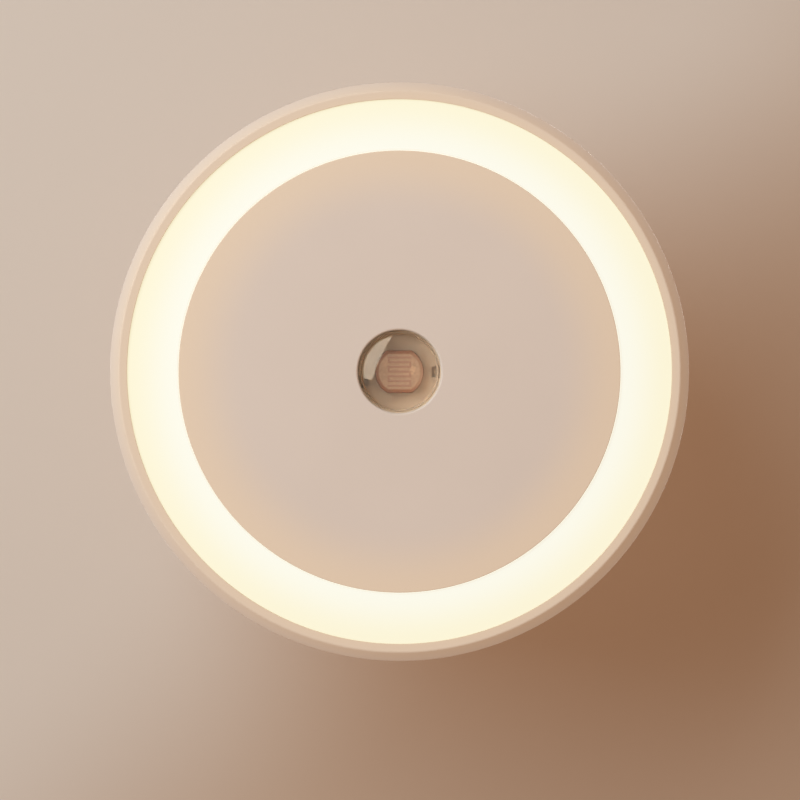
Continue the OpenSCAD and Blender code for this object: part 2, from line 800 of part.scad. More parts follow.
module led_packages() {
  color(white_colour)
    upright()
      at_leds() block([-led_w / 2, led_w / 2], [-led_l / 2, led_l / 2], [led_top_z, led_top_z + led_h]);
}

module led_phosphors() {
  color(phosphor_colour)
    upright() at_leds() rod(phosphor_d, [led_top_z + led_h, led_top_z + led_h + phosphor_t]);
}

module reflector_sheet() {
  half_w = led_w / 2 + sheet_gap;
  half_l = led_l / 2 + sheet_gap;
  color(white_colour)
    upright()
      difference() {
        rotate_extrude()
          wall_section([track_inner_r + sheet_gap, track_outer_r - sheet_gap],
            [led_top_z, led_top_z + sheet_t]);
        at_leds()
          block([-half_w, half_w], [-half_l, half_l], [led_top_z - cut, led_top_z + sheet_t + cut]);
      }
}

module cap_screws() {
  color(metal_colour)
    upright()
      around(cap_post_r, cap_post_angles)
        translate([0, 0, deck_z]) pan_screw(cap_screw_d, cap_screw_l, cap_head_d, cap_head_h);
}

module power_board() {
  color(power_board_colour)
    upright()
      difference() {
        union() {
          rod(2 * power_board_r, [board_z, board_top_z]);
          block([-tongue_half_w, tongue_half_w], [-switch_face_y, 0], [board_z, board_top_z]);
        }
        power_board_holes();
      }
}

module power_board_holes() {
  lead_hole_d = lead_d + 2 * hole_gap;
  for (side = [-1, 1]) {
    translate([side * standoff_x, 0, 0]) power_board_hole(board_screw_d + 2 * shank_gap);
    translate([side * film_lead_pitch / 2, film_middle_y, 0]) power_board_hole(lead_hole_d);
    for (end = [-1, 1])
      translate([side * resistor_x, resistor_y + end * resistor_lead_x, 0]) power_board_hole(lead_hole_d);
    translate([smooth_lead_x, -smooth_y + side * smooth_lead_pitch / 2, 0]) power_board_hole(lead_hole_d);
    tail_slot(side);
  }
  for (i = [-1 : 1])
    translate([-low_parts_x + i * transistor_pitch, -low_parts_y, 0]) power_board_hole(lead_hole_d);
  for (i = [0 : pin_count - 1])
    translate([spread(i, pin_count, pin_pitch), -link_y, 0]) power_board_hole(pin_d + 2 * hole_gap);
  at_terminals() power_board_hole(terminal_d + 2 * hole_gap);
}

module power_board_hole(d) {
  rod(d, [board_z - cut, board_top_z + cut]);
}

// Slot in the power board for one solder tail
module tail_slot(side) {
  half_t = blade_t / 2 + hole_gap;
  half_w = tail_w / 2 + hole_gap;
  translate([side * blade_x, 0, 0])
    block([-half_t, half_t], [-half_w, half_w], [board_z - cut, board_top_z + cut]);
}

module power_board_screws() {
  color(metal_colour)
    upright()
      for (side = [-1, 1])
        translate([side * standoff_x, 0, board_top_z])
          mirror([0, 0, 1]) pan_screw(board_screw_d, board_screw_l, board_head_d, board_head_h);
}

module film_capacitor() {
  color(film_colour)
    upright() {
      block([-film_l / 2, film_l / 2], [film_y, film_y + film_w], [board_top_z, board_top_z + film_h]);
      for (side = [-1, 1])
        translate([side * film_lead_pitch / 2, film_middle_y, 0])
          rod(lead_d, [lead_end_z, board_top_z + lead_d]);
    }
}

module smoothing_capacitor() {
  color(dark_colour)
    upright()
      translate([0, -smooth_y, 0]) {
        translate([-smooth_l / 2, 0, smooth_z]) rotate([0, 90, 0]) cylinder(d = smooth_d, h = smooth_l);
        for (side = [-1, 1])
          translate([0, side * smooth_lead_pitch / 2, 0])
            bent_lead(smooth_l / 2 - lead_d, smooth_lead_x, smooth_z);
      }
}

module bridge_rectifier() {
  foot_y = rectifier_w / 2 + rectifier_foot_l;
  color(dark_colour)
    upright()
      translate([low_parts_x, -low_parts_y, board_top_z]) {
        block([-rectifier_l / 2, rectifier_l / 2], [-rectifier_w / 2, rectifier_w / 2], [0, rectifier_h]);
        for (side = [-1, 1])
          translate([side * rectifier_foot_pitch / 2, 0, 0])
            block([-rectifier_foot_w / 2, rectifier_foot_w / 2], [-foot_y, foot_y], [0, rectifier_foot_t]);
      }
}

module fuse_resistor() {
  color(resistor_colour)
    upright() lying_resistor(-1);
}

module bleed_resistor() {
  color(resistor_colour)
    upright() lying_resistor(1);
}

module sense_transistor() {
  color(dark_colour)
    upright()
      translate([-low_parts_x, -low_parts_y, 0]) {
        intersection() {
          rod(transistor_d, [board_top_z, board_top_z + transistor_h]);
          block([-transistor_d, transistor_d], [-transistor_flat, transistor_d],
            [board_top_z, board_top_z + transistor_h]);
        }
        for (i = [-1 : 1])
          translate([i * transistor_pitch, 0, 0]) rod(lead_d, [lead_end_z, board_top_z + lead_d]);
      }
}

module header_block() {
  color(dark_colour)
    upright()
      translate([0, -link_y, 0])
        difference() {
          block([-pin_block_l / 2, pin_block_l / 2], [-pin_block_w / 2, pin_block_w / 2],
            [board_top_z, board_top_z + pin_block_h]);
          for (i = [0 : pin_count - 1])
            translate([spread(i, pin_count, pin_pitch), 0, 0])
              rod(pin_d + 2 * hole_gap, [board_top_z - cut, board_top_z + pin_block_h + cut]);
        }
}

module header_pins() {
  color(metal_colour)
    upright()
      for (i = [0 : pin_count - 1])
        translate([spread(i, pin_count, pin_pitch), -link_y, 0])
          rod(pin_d, [lead_end_z, led_top_z + solder_out]);
}

// Flat blade with a latch hole, a shoulder inside the boss and a tail through the power board
module blade(side) {
  color(metal_colour)
    upright()
      translate([side * blade_x - blade_t / 2, 0, 0])
        rotate([90, 0, 90])
          linear_extrude(blade_t)
            difference() {
              blade_outline();
              translate([0, blade_hole_end - blade_l]) circle(d = blade_hole_d);
            }
}

module blade_outline() {
  polygon([
    [-blade_w / 2, shoulder_z], [-blade_w / 2, blade_tip - blade_l],
    [blade_tip - blade_w / 2, -blade_l], [blade_w / 2 - blade_tip, -blade_l],
    [blade_w / 2, blade_tip - blade_l], [blade_w / 2, shoulder_z]
  ]);
  wall_section([-shoulder_w / 2, shoulder_w / 2], [floor_z, shoulder_z]);
  wall_section([-tail_w / 2, tail_w / 2], [floor_z, tail_top_z]);
}

module blade_left() {
  blade(-1);
}

module blade_right() {
  blade(1);
}

module blade_carrier() {
  half_t = blade_t / 2 + hole_gap;
  shoulder_half = shoulder_w / 2 + hole_gap;
  tail_half = tail_w / 2 + hole_gap;
  color(dark_colour)
    upright()
      difference() {
        block([-carrier_half_l, carrier_half_l], [-carrier_half_w, carrier_half_w], [floor_z, carrier_z]);
        for (side = [-1, 1]) {
          translate([side * blade_x, 0, 0]) {
            block([-half_t, half_t], [-shoulder_half, shoulder_half], [floor_z - cut, shoulder_z]);
            block([-half_t, half_t], [-tail_half, tail_half], [floor_z, carrier_z + cut]);
          }
          translate([0, side * stake_y, 0]) rod(stake_d + 2 * hole_gap, [floor_z - cut, carrier_z + cut]);
        }
      }
}

module cover_screws() {
  color(metal_colour)
    upright()
      around(post_r, post_angles)
        translate([0, 0, ring_back_z + recess_depth])
          pan_screw(cover_screw_d, cover_screw_l, cover_head_d, cover_head_h);
}

module switch_body() {
  color(dark_colour)
    upright()
      difference() {
        block([-switch_l / 2, switch_l / 2], [-switch_face_y, -switch_back_y],
          [board_top_z, board_top_z + switch_h]);
        block([-lever_slot_half_x, lever_slot_half_x], [-switch_face_y - cut, -lever_root_y + fit_gap],
          [lever_z - lever_slot_half_z, lever_z + lever_slot_half_z]);
      }
}

// Places of the switch terminals, under the middle of the switch body
module at_terminals() {
  for (i = [0 : terminal_count - 1])
    translate([spread(i, terminal_count, terminal_pitch), -switch_back_y - switch_w / 2, 0]) children();
}

module switch_terminals() {
  color(metal_colour)
    upright() at_terminals() rod(terminal_d, [lead_end_z, board_top_z]);
}

module switch_lever() {
  color(white_colour)
    upright()
      block([-lever_w / 2, lever_w / 2], [-lever_tip_y, -lever_root_y],
        [lever_z - lever_w / 2, lever_z + lever_w / 2]);
}

module switch_knob() {
  pocket_half = lever_w / 2 + hole_gap;
  color(knob_colour)
    upright()
      translate([0, 0, lever_z])
        difference() {
          union() {
            block([-knob_w / 2, knob_w / 2], [-knob_tip_y, -knob_back_y], [-knob_h / 2, knob_h / 2]);
            block([-knob_flange_half_x, knob_flange_half_x], [-knob_flange_y, -knob_back_y],
              [-knob_flange_half_z, knob_flange_half_z]);
          }
          block([-pocket_half, pocket_half], [-lever_tip_y - hole_gap, -knob_back_y + cut],
            [-pocket_half, pocket_half]);
          for (i = [0 : groove_count - 1])
            translate([spread(i, groove_count, groove_pitch), -knob_tip_y, 0])
              block([-groove_w / 2, groove_w / 2], [-cut, groove_depth], [-knob_h, knob_h]);
        }
}

front_housing();
rear_cover();
diffuser_ring();
centre_cap();
sensor_window();
sensor_sleeve();
photoresistor_base();
photoresistor_track();
photoresistor_leads();
led_board();
led_packages();
led_phosphors();
reflector_sheet();
cap_screws();
power_board();
power_board_screws();
film_capacitor();
smoothing_capacitor();
bridge_rectifier();
fuse_resistor();
bleed_resistor();
sense_transistor();
header_block();
header_pins();
blade_left();
blade_right();
blade_carrier();
cover_screws();
switch_body();
switch_terminals();
switch_lever();
switch_knob();
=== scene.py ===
"""Finished look of a round plug-in night light with a dusk sensor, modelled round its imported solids."""

import math

import bpy
from mathutils import Matrix, Vector


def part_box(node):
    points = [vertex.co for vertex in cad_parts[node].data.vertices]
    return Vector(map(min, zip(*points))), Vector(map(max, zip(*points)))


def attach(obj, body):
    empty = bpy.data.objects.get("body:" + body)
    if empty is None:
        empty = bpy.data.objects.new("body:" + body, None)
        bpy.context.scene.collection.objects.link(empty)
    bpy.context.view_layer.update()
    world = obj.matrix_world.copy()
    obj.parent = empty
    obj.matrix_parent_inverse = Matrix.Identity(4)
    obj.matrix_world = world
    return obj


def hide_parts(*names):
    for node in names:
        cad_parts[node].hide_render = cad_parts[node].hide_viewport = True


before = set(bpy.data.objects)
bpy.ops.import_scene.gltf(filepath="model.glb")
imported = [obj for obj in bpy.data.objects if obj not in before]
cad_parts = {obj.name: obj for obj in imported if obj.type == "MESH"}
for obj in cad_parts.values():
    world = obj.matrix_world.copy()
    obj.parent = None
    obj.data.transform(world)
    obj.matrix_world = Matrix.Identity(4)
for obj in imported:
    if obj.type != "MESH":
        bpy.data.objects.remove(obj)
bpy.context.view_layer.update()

bl_info = {
    "name": "Night light",
    "version": (1, 0, 0),
    "blender": (4, 5, 0),
    "location": "3D View > Sidebar > Night Light",
    "description": "Models the pieces, the finishes and the studio of a plug-in night light",
    "category": "Object",
}

MM = 0.001
# Sides of a large, a middling and a small turned piece
FINE_STEPS = 256
MIDDLE_STEPS = 128
SMALL_STEPS = 64
# Steps in a rounded corner, in a softened edge, along the window's dome, along a round side of the cell
# and round an engraved mark
CORNER_STEPS = 5
EDGE_STEPS = 3
DOME_STEPS = 16
CELL_STEPS = 24
MARK_STEPS = 16
# Distance under which two corners are the same one
SAME_PLACE = 0.002 * MM
# How far a cutting tool reaches past the face that it opens
PAST = 1 * MM
# Angle up to which an edge is shaded smooth, and past which it is softened
SMOOTH_ANGLE = math.radians(32)
SOFTEN_ANGLE = math.radians(40)
# Directions of like features round the lamp's axis, from +X towards +Z
POST_ANGLES = [math.radians(a) for a in (90, 210, 330)]
DISC_POST_ANGLES = [math.radians(a) for a in (30, 150, 270)]
STAKE_ANGLES = [math.radians(a) for a in (90, -90)]
SLOT_ANGLES = [math.radians(a) for a in (0, 195)]
BOTH_SIDES = [math.radians(a) for a in (0, 180)]
# Narrow and wide range of a noise pattern that a finish spreads out
NOISE_CORE = (0.3, 0.7)
NOISE_WIDE = (0.2, 0.8)


# Properties

def length(label, text, millimetres, least=0):
    """Property for a length, given in millimetres and held in metres."""
    return bpy.props.FloatProperty(
        name=label, description=text, default=millimetres * MM, min=least, precision=5,
        unit="LENGTH", subtype="DISTANCE",
    )


def power(label, text, watts):
    """Property for the power of a light."""
    return bpy.props.FloatProperty(name=label, description=text, default=watts, min=0, unit="POWER")


def direction(label, text, *axes):
    """Property for a direction."""
    return bpy.props.FloatVectorProperty(
        name=label, description=text, default=axes, size=3, subtype="DIRECTION"
    )


def linear(level):
    """Scene linear value of a display value from 0 to 255."""
    share = level / 255
    return share / 12.92 if share <= 0.04045 else ((share + 0.055) / 1.055) ** 2.4


def tint(label, text, *levels):
    """Property for a colour, given as display values and held as scene linear ones."""
    return bpy.props.FloatVectorProperty(
        name=label, description=text, default=[linear(v) for v in levels], min=0, max=1, size=3,
        subtype="COLOR",
    )


class DrumSizes(bpy.types.PropertyGroup):
    """Sizes of the drum-shaped front housing."""

    wall: length("Wall", "Wall of the drum", 1.9)
    chamfer: length("Rim chamfer", "Width of the chamfer round the front rim", 1)
    edge_round: length("Edge rounding", "Rounding of the moulded edges", 0.14)
    mouth_round: length("Mouth rounding", "Rounding of the edge beside the lit ring", 0.02)
    mouth_drop: length("Mouth drop", "How far the rim falls towards the lit ring", 0.05)
    deck: length("Deck", "Thickness of the deck that carries the lamp board", 1.6)
    deck_hole: length("Deck hole", "Radius of the hole in the middle of the deck", 6)
    seam_gap: length("Seam", "Open seam between the drum and the back", 0.2)
    post: length("Post", "Radius of the screw posts", 2.8)
    pilot: length("Pilot hole", "Radius of the holes in the screw posts", 0.95)
    screw_pass: length("Screw hole", "Radius of a hole that a screw passes freely", 1.1)
    pin_gap: length("Pin gap", "Space round the link pins' block in the deck", 0.2)


class CoverSizes(bpy.types.PropertyGroup):
    """Sizes of the rear cover and its screws."""

    wall: length("Wall", "Wall of the rear cover", 2)
    back_round: length("Back rounding", "Rounding of the outer back edge", 4)
    boss: length("Boss", "Radius of the boss that carries the blades", 19)
    boss_depth: length("Boss depth", "How far the boss stands behind the rest of the back", 4)
    boss_round: length("Boss rounding", "Rounding of the boss edge", 1)
    lip: length("Lip", "Wall of the centring lip", 1.2)
    lip_height: length("Lip height", "Height of the centring lip above the seam", 1.5)
    lip_gap: length("Lip gap", "Half width of the gap in the lip behind the switch", 7.2)
    standoff: length("Standoff", "Radius of the standoffs under the power board", 2.3)
    standoff_pilot: length("Standoff hole", "Radius of the holes in the standoffs", 0.85)
    stake: length("Stake", "Radius of the heat stakes that hold the blade carrier", 1)
    stake_head: length("Stake head", "Radius of the stakes' formed heads", 1.6)
    stake_head_height: length("Stake head height", "Height of the stakes' formed heads", 0.5)
    stake_offset: length("Stake place", "Distance of each heat stake from the middle", 3.4)
    recess: length("Recess", "Radius of the recesses for the screw heads", 2.3)
    recess_depth: length("Recess depth", "Depth of the recesses for the screw heads", 1.3)
    screw_head: length("Screw head", "Radius of the cover screws' heads", 2.1)
    screw_head_height: length("Head height", "Height of the cover screws' heads", 1.2)
    screw_shank: length("Screw shank", "Radius of the cover screws' shanks", 0.9)
    cross_length: length("Cross length", "Length of the cross recess in a head", 2.6)
    cross_width: length("Cross width", "Width of the cross recess in a head", 0.5)
    cross_depth: length("Cross depth", "Depth of the cross recess in a head", 0.6)


class FrontSizes(bpy.types.PropertyGroup):
    """Sizes of the lit ring and the disc."""

    ring_gap: length("Ring gap", "Open gap between the ring and the drum's mouth", 0.02)
    diffuser: length("Diffuser", "Thickness of the ring's face", 1.6)
    skirt: length("Skirt", "Thickness of the ring's skirts", 1.4)
    ledge: length("Ledge", "Width of the ledge under the edge of the disc", 3)
    ring_round: length("Ring rounding", "Rounding of the ring's outer edge", 0.04)
    disc: length("Disc", "Thickness of the disc", 1.6)
    disc_round: length("Disc rounding", "Rounding of the disc's edge", 0.08)
    hole_round: length("Hole rounding", "Rounding of the sensor hole's edge", 0.24)
    disc_skirt: length("Disc skirt", "Thickness of the skirt behind the disc", 1.2)
    disc_skirt_height: length("Disc skirt height", "Length of the skirt behind the disc", 4)
    post: length("Disc post", "Radius of the posts behind the disc", 2.2)
    # Painted glow: width of the zone at the disc's edge where the ring's light is painted into the colour
    painted_glow_band: length("Seep", "Width of the zone at the disc's edge that the ring's light warms", 7.32)
    screw_head: length("Inner screw head", "Radius of the disc's and the board's screw heads", 1.8)
    fit: length("Fit", "Clearance between moulded parts that locate each other", 0.1)


class SensorSizes(bpy.types.PropertyGroup):
    """Sizes of the window, the sleeve and the cell of the dusk sensor."""

    hole: length("Hole", "Radius of the sensor hole in the disc", 4.6)
    dome: length("Dome", "Height of the window's dome", 0.8)
    wall: length("Window wall", "Wall of the clear window", 0.4)
    window_fit: length("Window fit", "Space between the window and the disc's hole", 0.02)
    flange: length("Flange", "Thickness of the window's flange", 0.8)
    nest_wall: length("Nest wall", "Wall of the ring that centres the window", 1.1)
    nest_height: length("Nest height", "Depth of the ring that centres the window", 1.6)
    sleeve_wall: length("Sleeve wall", "Wall of the sleeve round the cell", 1.4)
    sleeve_floor: length("Sleeve floor", "Thickness of the floor that the cell rests on", 1.2)
    slot_length: length("Slot length", "Length of the two slots in the sleeve's floor", 1.2)
    slot_width: length("Slot width", "Width of the slots in the sleeve's floor", 0.5)
    slot_depth: length("Slot depth", "Depth of the slots in the sleeve's floor", 0.9)
    slot_edge: length("Slot place", "Distance of the slots from the sleeve's wall", 0.25)
    lead_gap: length("Lead gap", "Clearance of the cell's leads in the floor", 0.05)
    lead: length("Lead", "Radius of the cell's leads", 0.25)
    cell_round: length("Cell rounding", "Rounding of the cell's coated edge", 0.14)
    # The border is partly the coat's darker rim, partly painted shade round the cell's edge
    cell_border: length("Cell border", "Width of the darker border on the cell's face", 0.42)


class PlugSizes(bpy.types.PropertyGroup):
    """Sizes of the plug blades."""

    tip: length("Tip", "Chamfer at the tip of a blade", 1.2)
    hole: length("Latch hole", "Radius of the latch hole in a blade", 1.6)
    hole_end: length("Hole place", "Distance of the latch hole from the blade's tip", 4.3)
    shoulder: length("Shoulder", "Height of a blade's shoulder inside the boss", 1.2)
    shoulder_step: length("Shoulder step", "How far the shoulder stands out on each side", 1.2)
    tail: length("Tail", "Width of a blade's solder tail", 3)
    edge_round: length("Edge rounding", "Rounding of a blade's edges", 0.2)
    slot_gap: length("Slot gap", "Clearance of a blade in its slot", 0.05)


class SwitchSizes(bpy.types.PropertyGroup):
    """Sizes of the slide switch's knob and its recess under the rim."""

    knob_width: length("Knob width", "Width of the knob along its travel", 6)
    knob_height: length("Knob height", "Height of the knob", 2.4)
    proud: length("Knob proud", "How far the knob stands out of its flat", 0.7)
    flange: length("Flange", "Thickness of the knob's flange", 0.8)
    travel: length("Travel", "Travel of the knob to each side", 2)
    gap: length("Running gap", "Running clearance of the knob", 0.2)
    finger_room: length("Finger room", "Room for a fingertip above and below the knob", 1)
    wall: length("Recess wall", "Wall behind the flat", 1.8)
    groove_pitch: length("Groove pitch", "Distance between the grip grooves", 1.3)
    groove_width: length("Groove width", "Width of a grip groove", 0.5)
    groove_depth: length("Groove depth", "Depth of a grip groove", 0.3)
    groove_count: bpy.props.IntProperty(
        name="Grooves", description="Number of grip grooves on the knob", default=3, min=1, max=5
    )
    lever: length("Lever", "Width of the lever in the knob's pocket", 1.5)
    lever_gap: length("Lever gap", "Clearance of the lever in the pocket", 0.05)
    mark_distance: length("Mark distance", "Distance of the position marks from the recess", 1.9)
    mark_size: length("Mark size", "Height of a position mark", 1.1)
    mark_line: length("Mark line", "Width of an engraved line", 0.24)


class LampColours(bpy.types.PropertyGroup):
    """Colours of the finishes."""

    shell: tint("Shell", "Ivory moulded plastic", 212, 193, 178)
    # Painted glow: the ring's light painted into the shell as a warmer tone near the ring
    shell_painted_glow: tint("Lit shell", "Ivory plastic warmed by seeping light", 224, 199, 173)
    glow_inner: tint("Glow, inner", "Lit ring beside the disc", 252, 251, 236)
    glow_outer: tint("Glow, outer", "Lit ring beside the rim", 252, 245, 211)
    glow_strength: bpy.props.FloatProperty(
        name="Glow strength", description="Strength of the ring's light", default=0.79, min=0
    )
    diffuser: tint("Diffuser", "Milky plastic of the ring, unlit", 120, 118, 113)
    window: tint("Window", "Clear window", 250, 240, 226)
    sleeve: tint("Sleeve", "Inside of the sensor sleeve", 214, 190, 168)
    cell: tint("Cell", "Coated face of the cell", 168, 130, 104)
    # Partly the coat's darker rim, partly painted shade round the cell's edge
    cell_border_and_shade: tint("Cell edge", "Border and edge of the cell", 130, 70, 34)
    track: tint("Track", "Zig-zag track on the cell", 152, 108, 88)
    nickel: tint("Nickel", "Plating of the blades", 205, 200, 190)
    zinc: tint("Zinc", "Plating of the screws", 192, 190, 184)
    tin: tint("Tin", "Tinned leads and pins", 206, 204, 198)
    knob: tint("Knob", "Plastic of the slide knob", 205, 184, 164)
    backdrop: tint("Backdrop", "Pale surface behind the lamp", 204, 188, 173)
    # Painted shadow: a darker, warmer tone painted on the backdrop's lower right, deepening the lamp's
    # shadow there
    backdrop_painted_shadow: tint("Backdrop, low", "The same surface towards its lower right", 183, 156, 134)
    surroundings: tint("Surroundings", "Pale room that glossy pieces show", 232, 224, 212)


class StudioSettings(bpy.types.PropertyGroup):
    """Lights and camera."""

    distance: length("Camera distance", "Distance of the camera from the rim", 600)
    view_width: length("View width", "Width of the picture in the plane of the rim", 88.3)
    aim_x: length("Aim across", "Place of the picture's middle, across", 0.06, least=-1)
    aim_z: length("Aim height", "Height of the picture's middle", -3.14, least=-1)
    backdrop_size: length("Backdrop size", "Side of the pale backdrop", 4000)
    backdrop_gap: length("Backdrop gap", "Space between the blades and the backdrop", 1)
    # Place, width and direction of the shadow painted on the backdrop
    painted_shadow_middle: length("Fade place", "Middle of the backdrop's fade, from the lamp's axis", 12)
    painted_shadow_width: length("Fade width", "Distance over which the backdrop changes its tone", 40)
    painted_shadow_direction: direction("Fade direction", "Direction in which the backdrop darkens", 1, 0, -1)
    key_width: length("Key width", "Short side of the softbox", 340)
    key_length: length("Key length", "Long side of the softbox", 455)
    key_lean: direction("Key lean", "Direction that the softboxes' long sides lean to", 0.39, 0, 0.92)
    key_raise: length("Key raise", "How far the softbox's middle is moved up along its long side", 76)
    key_side: direction("Key side", "Direction from the lamp to the softbox", -0.635, -0.725, 0.267)
    key_distance: length("Key distance", "Distance of the softbox from the lamp", 450)
    key_power: power("Key power", "Power of the softbox", 2.28)
    key_colour: tint("Key colour", "Colour of the softbox", 208, 236, 255)
    card_power: power("Card power", "Power of the card that glossy pieces show", 1.24)
    card_colour: tint("Card colour", "Colour of the card that glossy pieces show", 255, 215, 162)
    card_gap: length("Card gap", "Space between the softbox and the card in front of it", 10)
    glint_width: length("Glint width", "Width of the small card whose glint the window shows", 36)
    glint_height: length("Glint height", "Height of the small card whose glint the window shows", 60)
    glint_side: direction("Glint side", "Direction from the lamp to the small card", 0.22, -0.97, 0.03)
    glint_power: power("Glint power", "Power of the small card", 0.008)
    fill_colour: tint("Fill colour", "Colour of the light from all round", 197, 172, 151)
    back_right: direction("Back right", "Direction to the right softbox behind", 0.38, 0.88, 0.28)
    back_left: direction("Back left", "Direction to the left softbox behind", -0.46, 0.88, -0.1)
    back_power: power("Back power", "Power of the right softbox behind", 1.45)
    back_low: power("Low back power", "Power of the left softbox behind", 0.725)
    back_colour: tint("Back colour", "Colour of the softboxes behind", 255, 255, 255)


class NightLight(bpy.types.PropertyGroup):
    """Everything that a user would change."""

    drum: bpy.props.PointerProperty(name="Drum", description="Sizes of the drum", type=DrumSizes)
    cover: bpy.props.PointerProperty(name="Cover", description="Sizes of the back", type=CoverSizes)
    front: bpy.props.PointerProperty(name="Front", description="Sizes of ring and disc", type=FrontSizes)
    sensor: bpy.props.PointerProperty(name="Sensor", description="Sizes of the sensor", type=SensorSizes)
    plug: bpy.props.PointerProperty(name="Plug", description="Sizes of the blades", type=PlugSizes)
    switch: bpy.props.PointerProperty(name="Switch", description="Sizes of the switch", type=SwitchSizes)
    colours: bpy.props.PointerProperty(name="Colours", description="Finishes", type=LampColours)
    studio: bpy.props.PointerProperty(name="Studio", description="Light and camera", type=StudioSettings)


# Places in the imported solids: the lit face looks along -Y

def low(node):
    """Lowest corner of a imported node."""
    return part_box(node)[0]


def high(node):
    """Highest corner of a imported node."""
    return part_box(node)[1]


def middle(node):
    """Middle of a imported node's box."""
    return (low(node) + high(node)) / 2


# Modelling tools

def deselect_all():
    """Leaves edit mode and deselects every object."""
    if bpy.context.mode != "OBJECT":
        bpy.ops.object.mode_set(mode="OBJECT")
    bpy.ops.object.select_all(action="DESELECT")


def take(piece):
    """Makes a piece the only selected object."""
    deselect_all()
    piece.select_set(True)
    bpy.context.view_layer.objects.active = piece


def choose(piece, kind, test):
    """Selects the vertices, edges or faces whose corners all pass a test, and enters edit mode."""
    take(piece)
    bpy.ops.object.mode_set(mode="EDIT")
    bpy.ops.mesh.select_mode(type=kind)
    bpy.ops.mesh.select_all(action="DESELECT")
    bpy.ops.object.mode_set(mode="OBJECT")
    mesh = piece.data
    passed = [test(v.co) for v in mesh.vertices]
    if kind == "VERT":
        mesh.vertices.foreach_set("select", passed)
    else:
        items = mesh.edges if kind == "EDGE" else mesh.polygons
        items.foreach_set("select", [all(passed[i] for i in item.vertices) for item in items])
    bpy.ops.object.mode_set(mode="EDIT")


def clean(piece):
    """Merges doubled corners, turns the faces outwards and smooths all but the sharp edges."""
    take(piece)
    bpy.ops.object.mode_set(mode="EDIT")
    bpy.ops.mesh.select_all(action="SELECT")
    bpy.ops.mesh.remove_doubles(threshold=SAME_PLACE)
    bpy.ops.mesh.normals_make_consistent(inside=False)
    bpy.ops.object.mode_set(mode="OBJECT")
    bpy.ops.object.shade_smooth_by_angle(angle=SMOOTH_ANGLE)
    return piece


def apply_place(piece):
    """Moves a piece's place, turn and size into its mesh."""
    take(piece)
    bpy.ops.object.transform_apply(location=True, rotation=True, scale=True)
    return piece


def modify(piece, kind, **settings):
    """Adds a modifier to a piece and applies it."""
    take(piece)
    bpy.ops.object.modifier_add(type=kind)
    modifier = piece.modifiers[-1]
    for name, value in settings.items():
        setattr(modifier, name, value)
    bpy.ops.object.modifier_apply(modifier=modifier.name)


def outline(name, corners, closed=True):
    """Wire through (x, y, rounding) corners, drawn vertex by vertex and rounded by bevels."""
    deselect_all()
    bpy.ops.mesh.primitive_plane_add(size=MM)
    wire = bpy.context.object
    wire.name = name
    bpy.ops.object.mode_set(mode="EDIT")
    bpy.ops.mesh.select_mode(type="VERT")
    bpy.ops.mesh.select_all(action="SELECT")
    bpy.ops.mesh.merge(type="CENTER")
    places = [Vector((x, y, 0)) for x, y, _ in corners]
    bpy.ops.transform.translate(value=places[0])
    for here, there in zip(places, places[1:] + places[:closed]):
        bpy.ops.mesh.extrude_vertices_move(TRANSFORM_OT_translate={"value": there - here})
    bpy.ops.mesh.select_all(action="SELECT")
    bpy.ops.mesh.remove_doubles(threshold=SAME_PLACE)
    for size in sorted({c[2] for c in corners if c[2]}):
        spots = [place for place, corner in zip(places, corners) if corner[2] == size]
        choose(wire, "VERT", lambda co: any((co - spot).length < SAME_PLACE for spot in spots))
        bpy.ops.mesh.bevel(offset=size, segments=CORNER_STEPS, affect="VERTICES")
    bpy.ops.object.mode_set(mode="OBJECT")
    return wire


def turned(name, corners, steps=FINE_STEPS, closed=True):
    """Piece turned round the lamp's axis from an outline of (radius, y, rounding) corners."""
    piece = outline(name, corners, closed)
    bpy.ops.object.mode_set(mode="EDIT")
    bpy.ops.mesh.select_all(action="SELECT")
    bpy.ops.mesh.spin(steps=steps, angle=math.tau, center=(0, 0, 0), axis=(0, 1, 0))
    return clean(piece)


def plate(name, corners, thickness, turn, place):
    """Flat plate with an outline of (x, y) corners, turned and put in its place."""
    piece = outline(name, [(x, y, 0) for x, y in corners])
    choose(piece, "VERT", lambda co: True)
    bpy.ops.mesh.edge_face_add()
    bpy.ops.mesh.extrude_region_move(TRANSFORM_OT_translate={"value": (0, 0, thickness)})
    bpy.ops.object.mode_set(mode="OBJECT")
    piece.rotation_euler = turn
    piece.location = place
    return clean(apply_place(piece))


def arc(radius, centre_y, from_x, to_x):
    """Corners along a dome round a centre on the lamp's axis, towards the front."""
    start = math.asin(from_x / radius)
    end = math.asin(to_x / radius)
    angles = [start + (end - start) * i / DOME_STEPS for i in range(DOME_STEPS + 1)]
    return [(radius * math.sin(a), centre_y - radius * math.cos(a), 0) for a in angles]


def flared_mouth(radius, face, size):
    """Corners of a tool that rounds the mouth of a hole in a face that looks along +Y."""
    angles = [math.pi / 2 * i / CORNER_STEPS for i in range(CORNER_STEPS + 1)]
    return [(radius + size * (1 - math.cos(a)), face - size * (1 - math.sin(a)), 0) for a in angles]


def at(radius, y):
    """Point at a distance from the lamp's axis, towards +X, and at a level."""
    return Vector((radius, y, 0))


def rod(radius, start, end, sides=SMALL_STEPS):
    """Round bar between two points."""
    deselect_all()
    bpy.ops.mesh.primitive_cylinder_add(
        vertices=sides, radius=radius, depth=(end - start).length, location=(start + end) / 2,
        rotation=(end - start).to_track_quat("Z", "Y").to_euler(),
    )
    return apply_place(bpy.context.object)


def block(lowest, highest):
    """Box between two corners."""
    deselect_all()
    bpy.ops.mesh.primitive_cube_add(size=1, location=(lowest + highest) / 2)
    bpy.context.object.scale = highest - lowest
    return apply_place(bpy.context.object)


def upright_block(x, y, half_x, half_y, bottom, top):
    """Box round an upright line through (x, y), between two heights."""
    half = Vector((half_x, half_y, 0))
    return block(Vector((x, y, bottom)) - half, Vector((x, y, top)) + half)


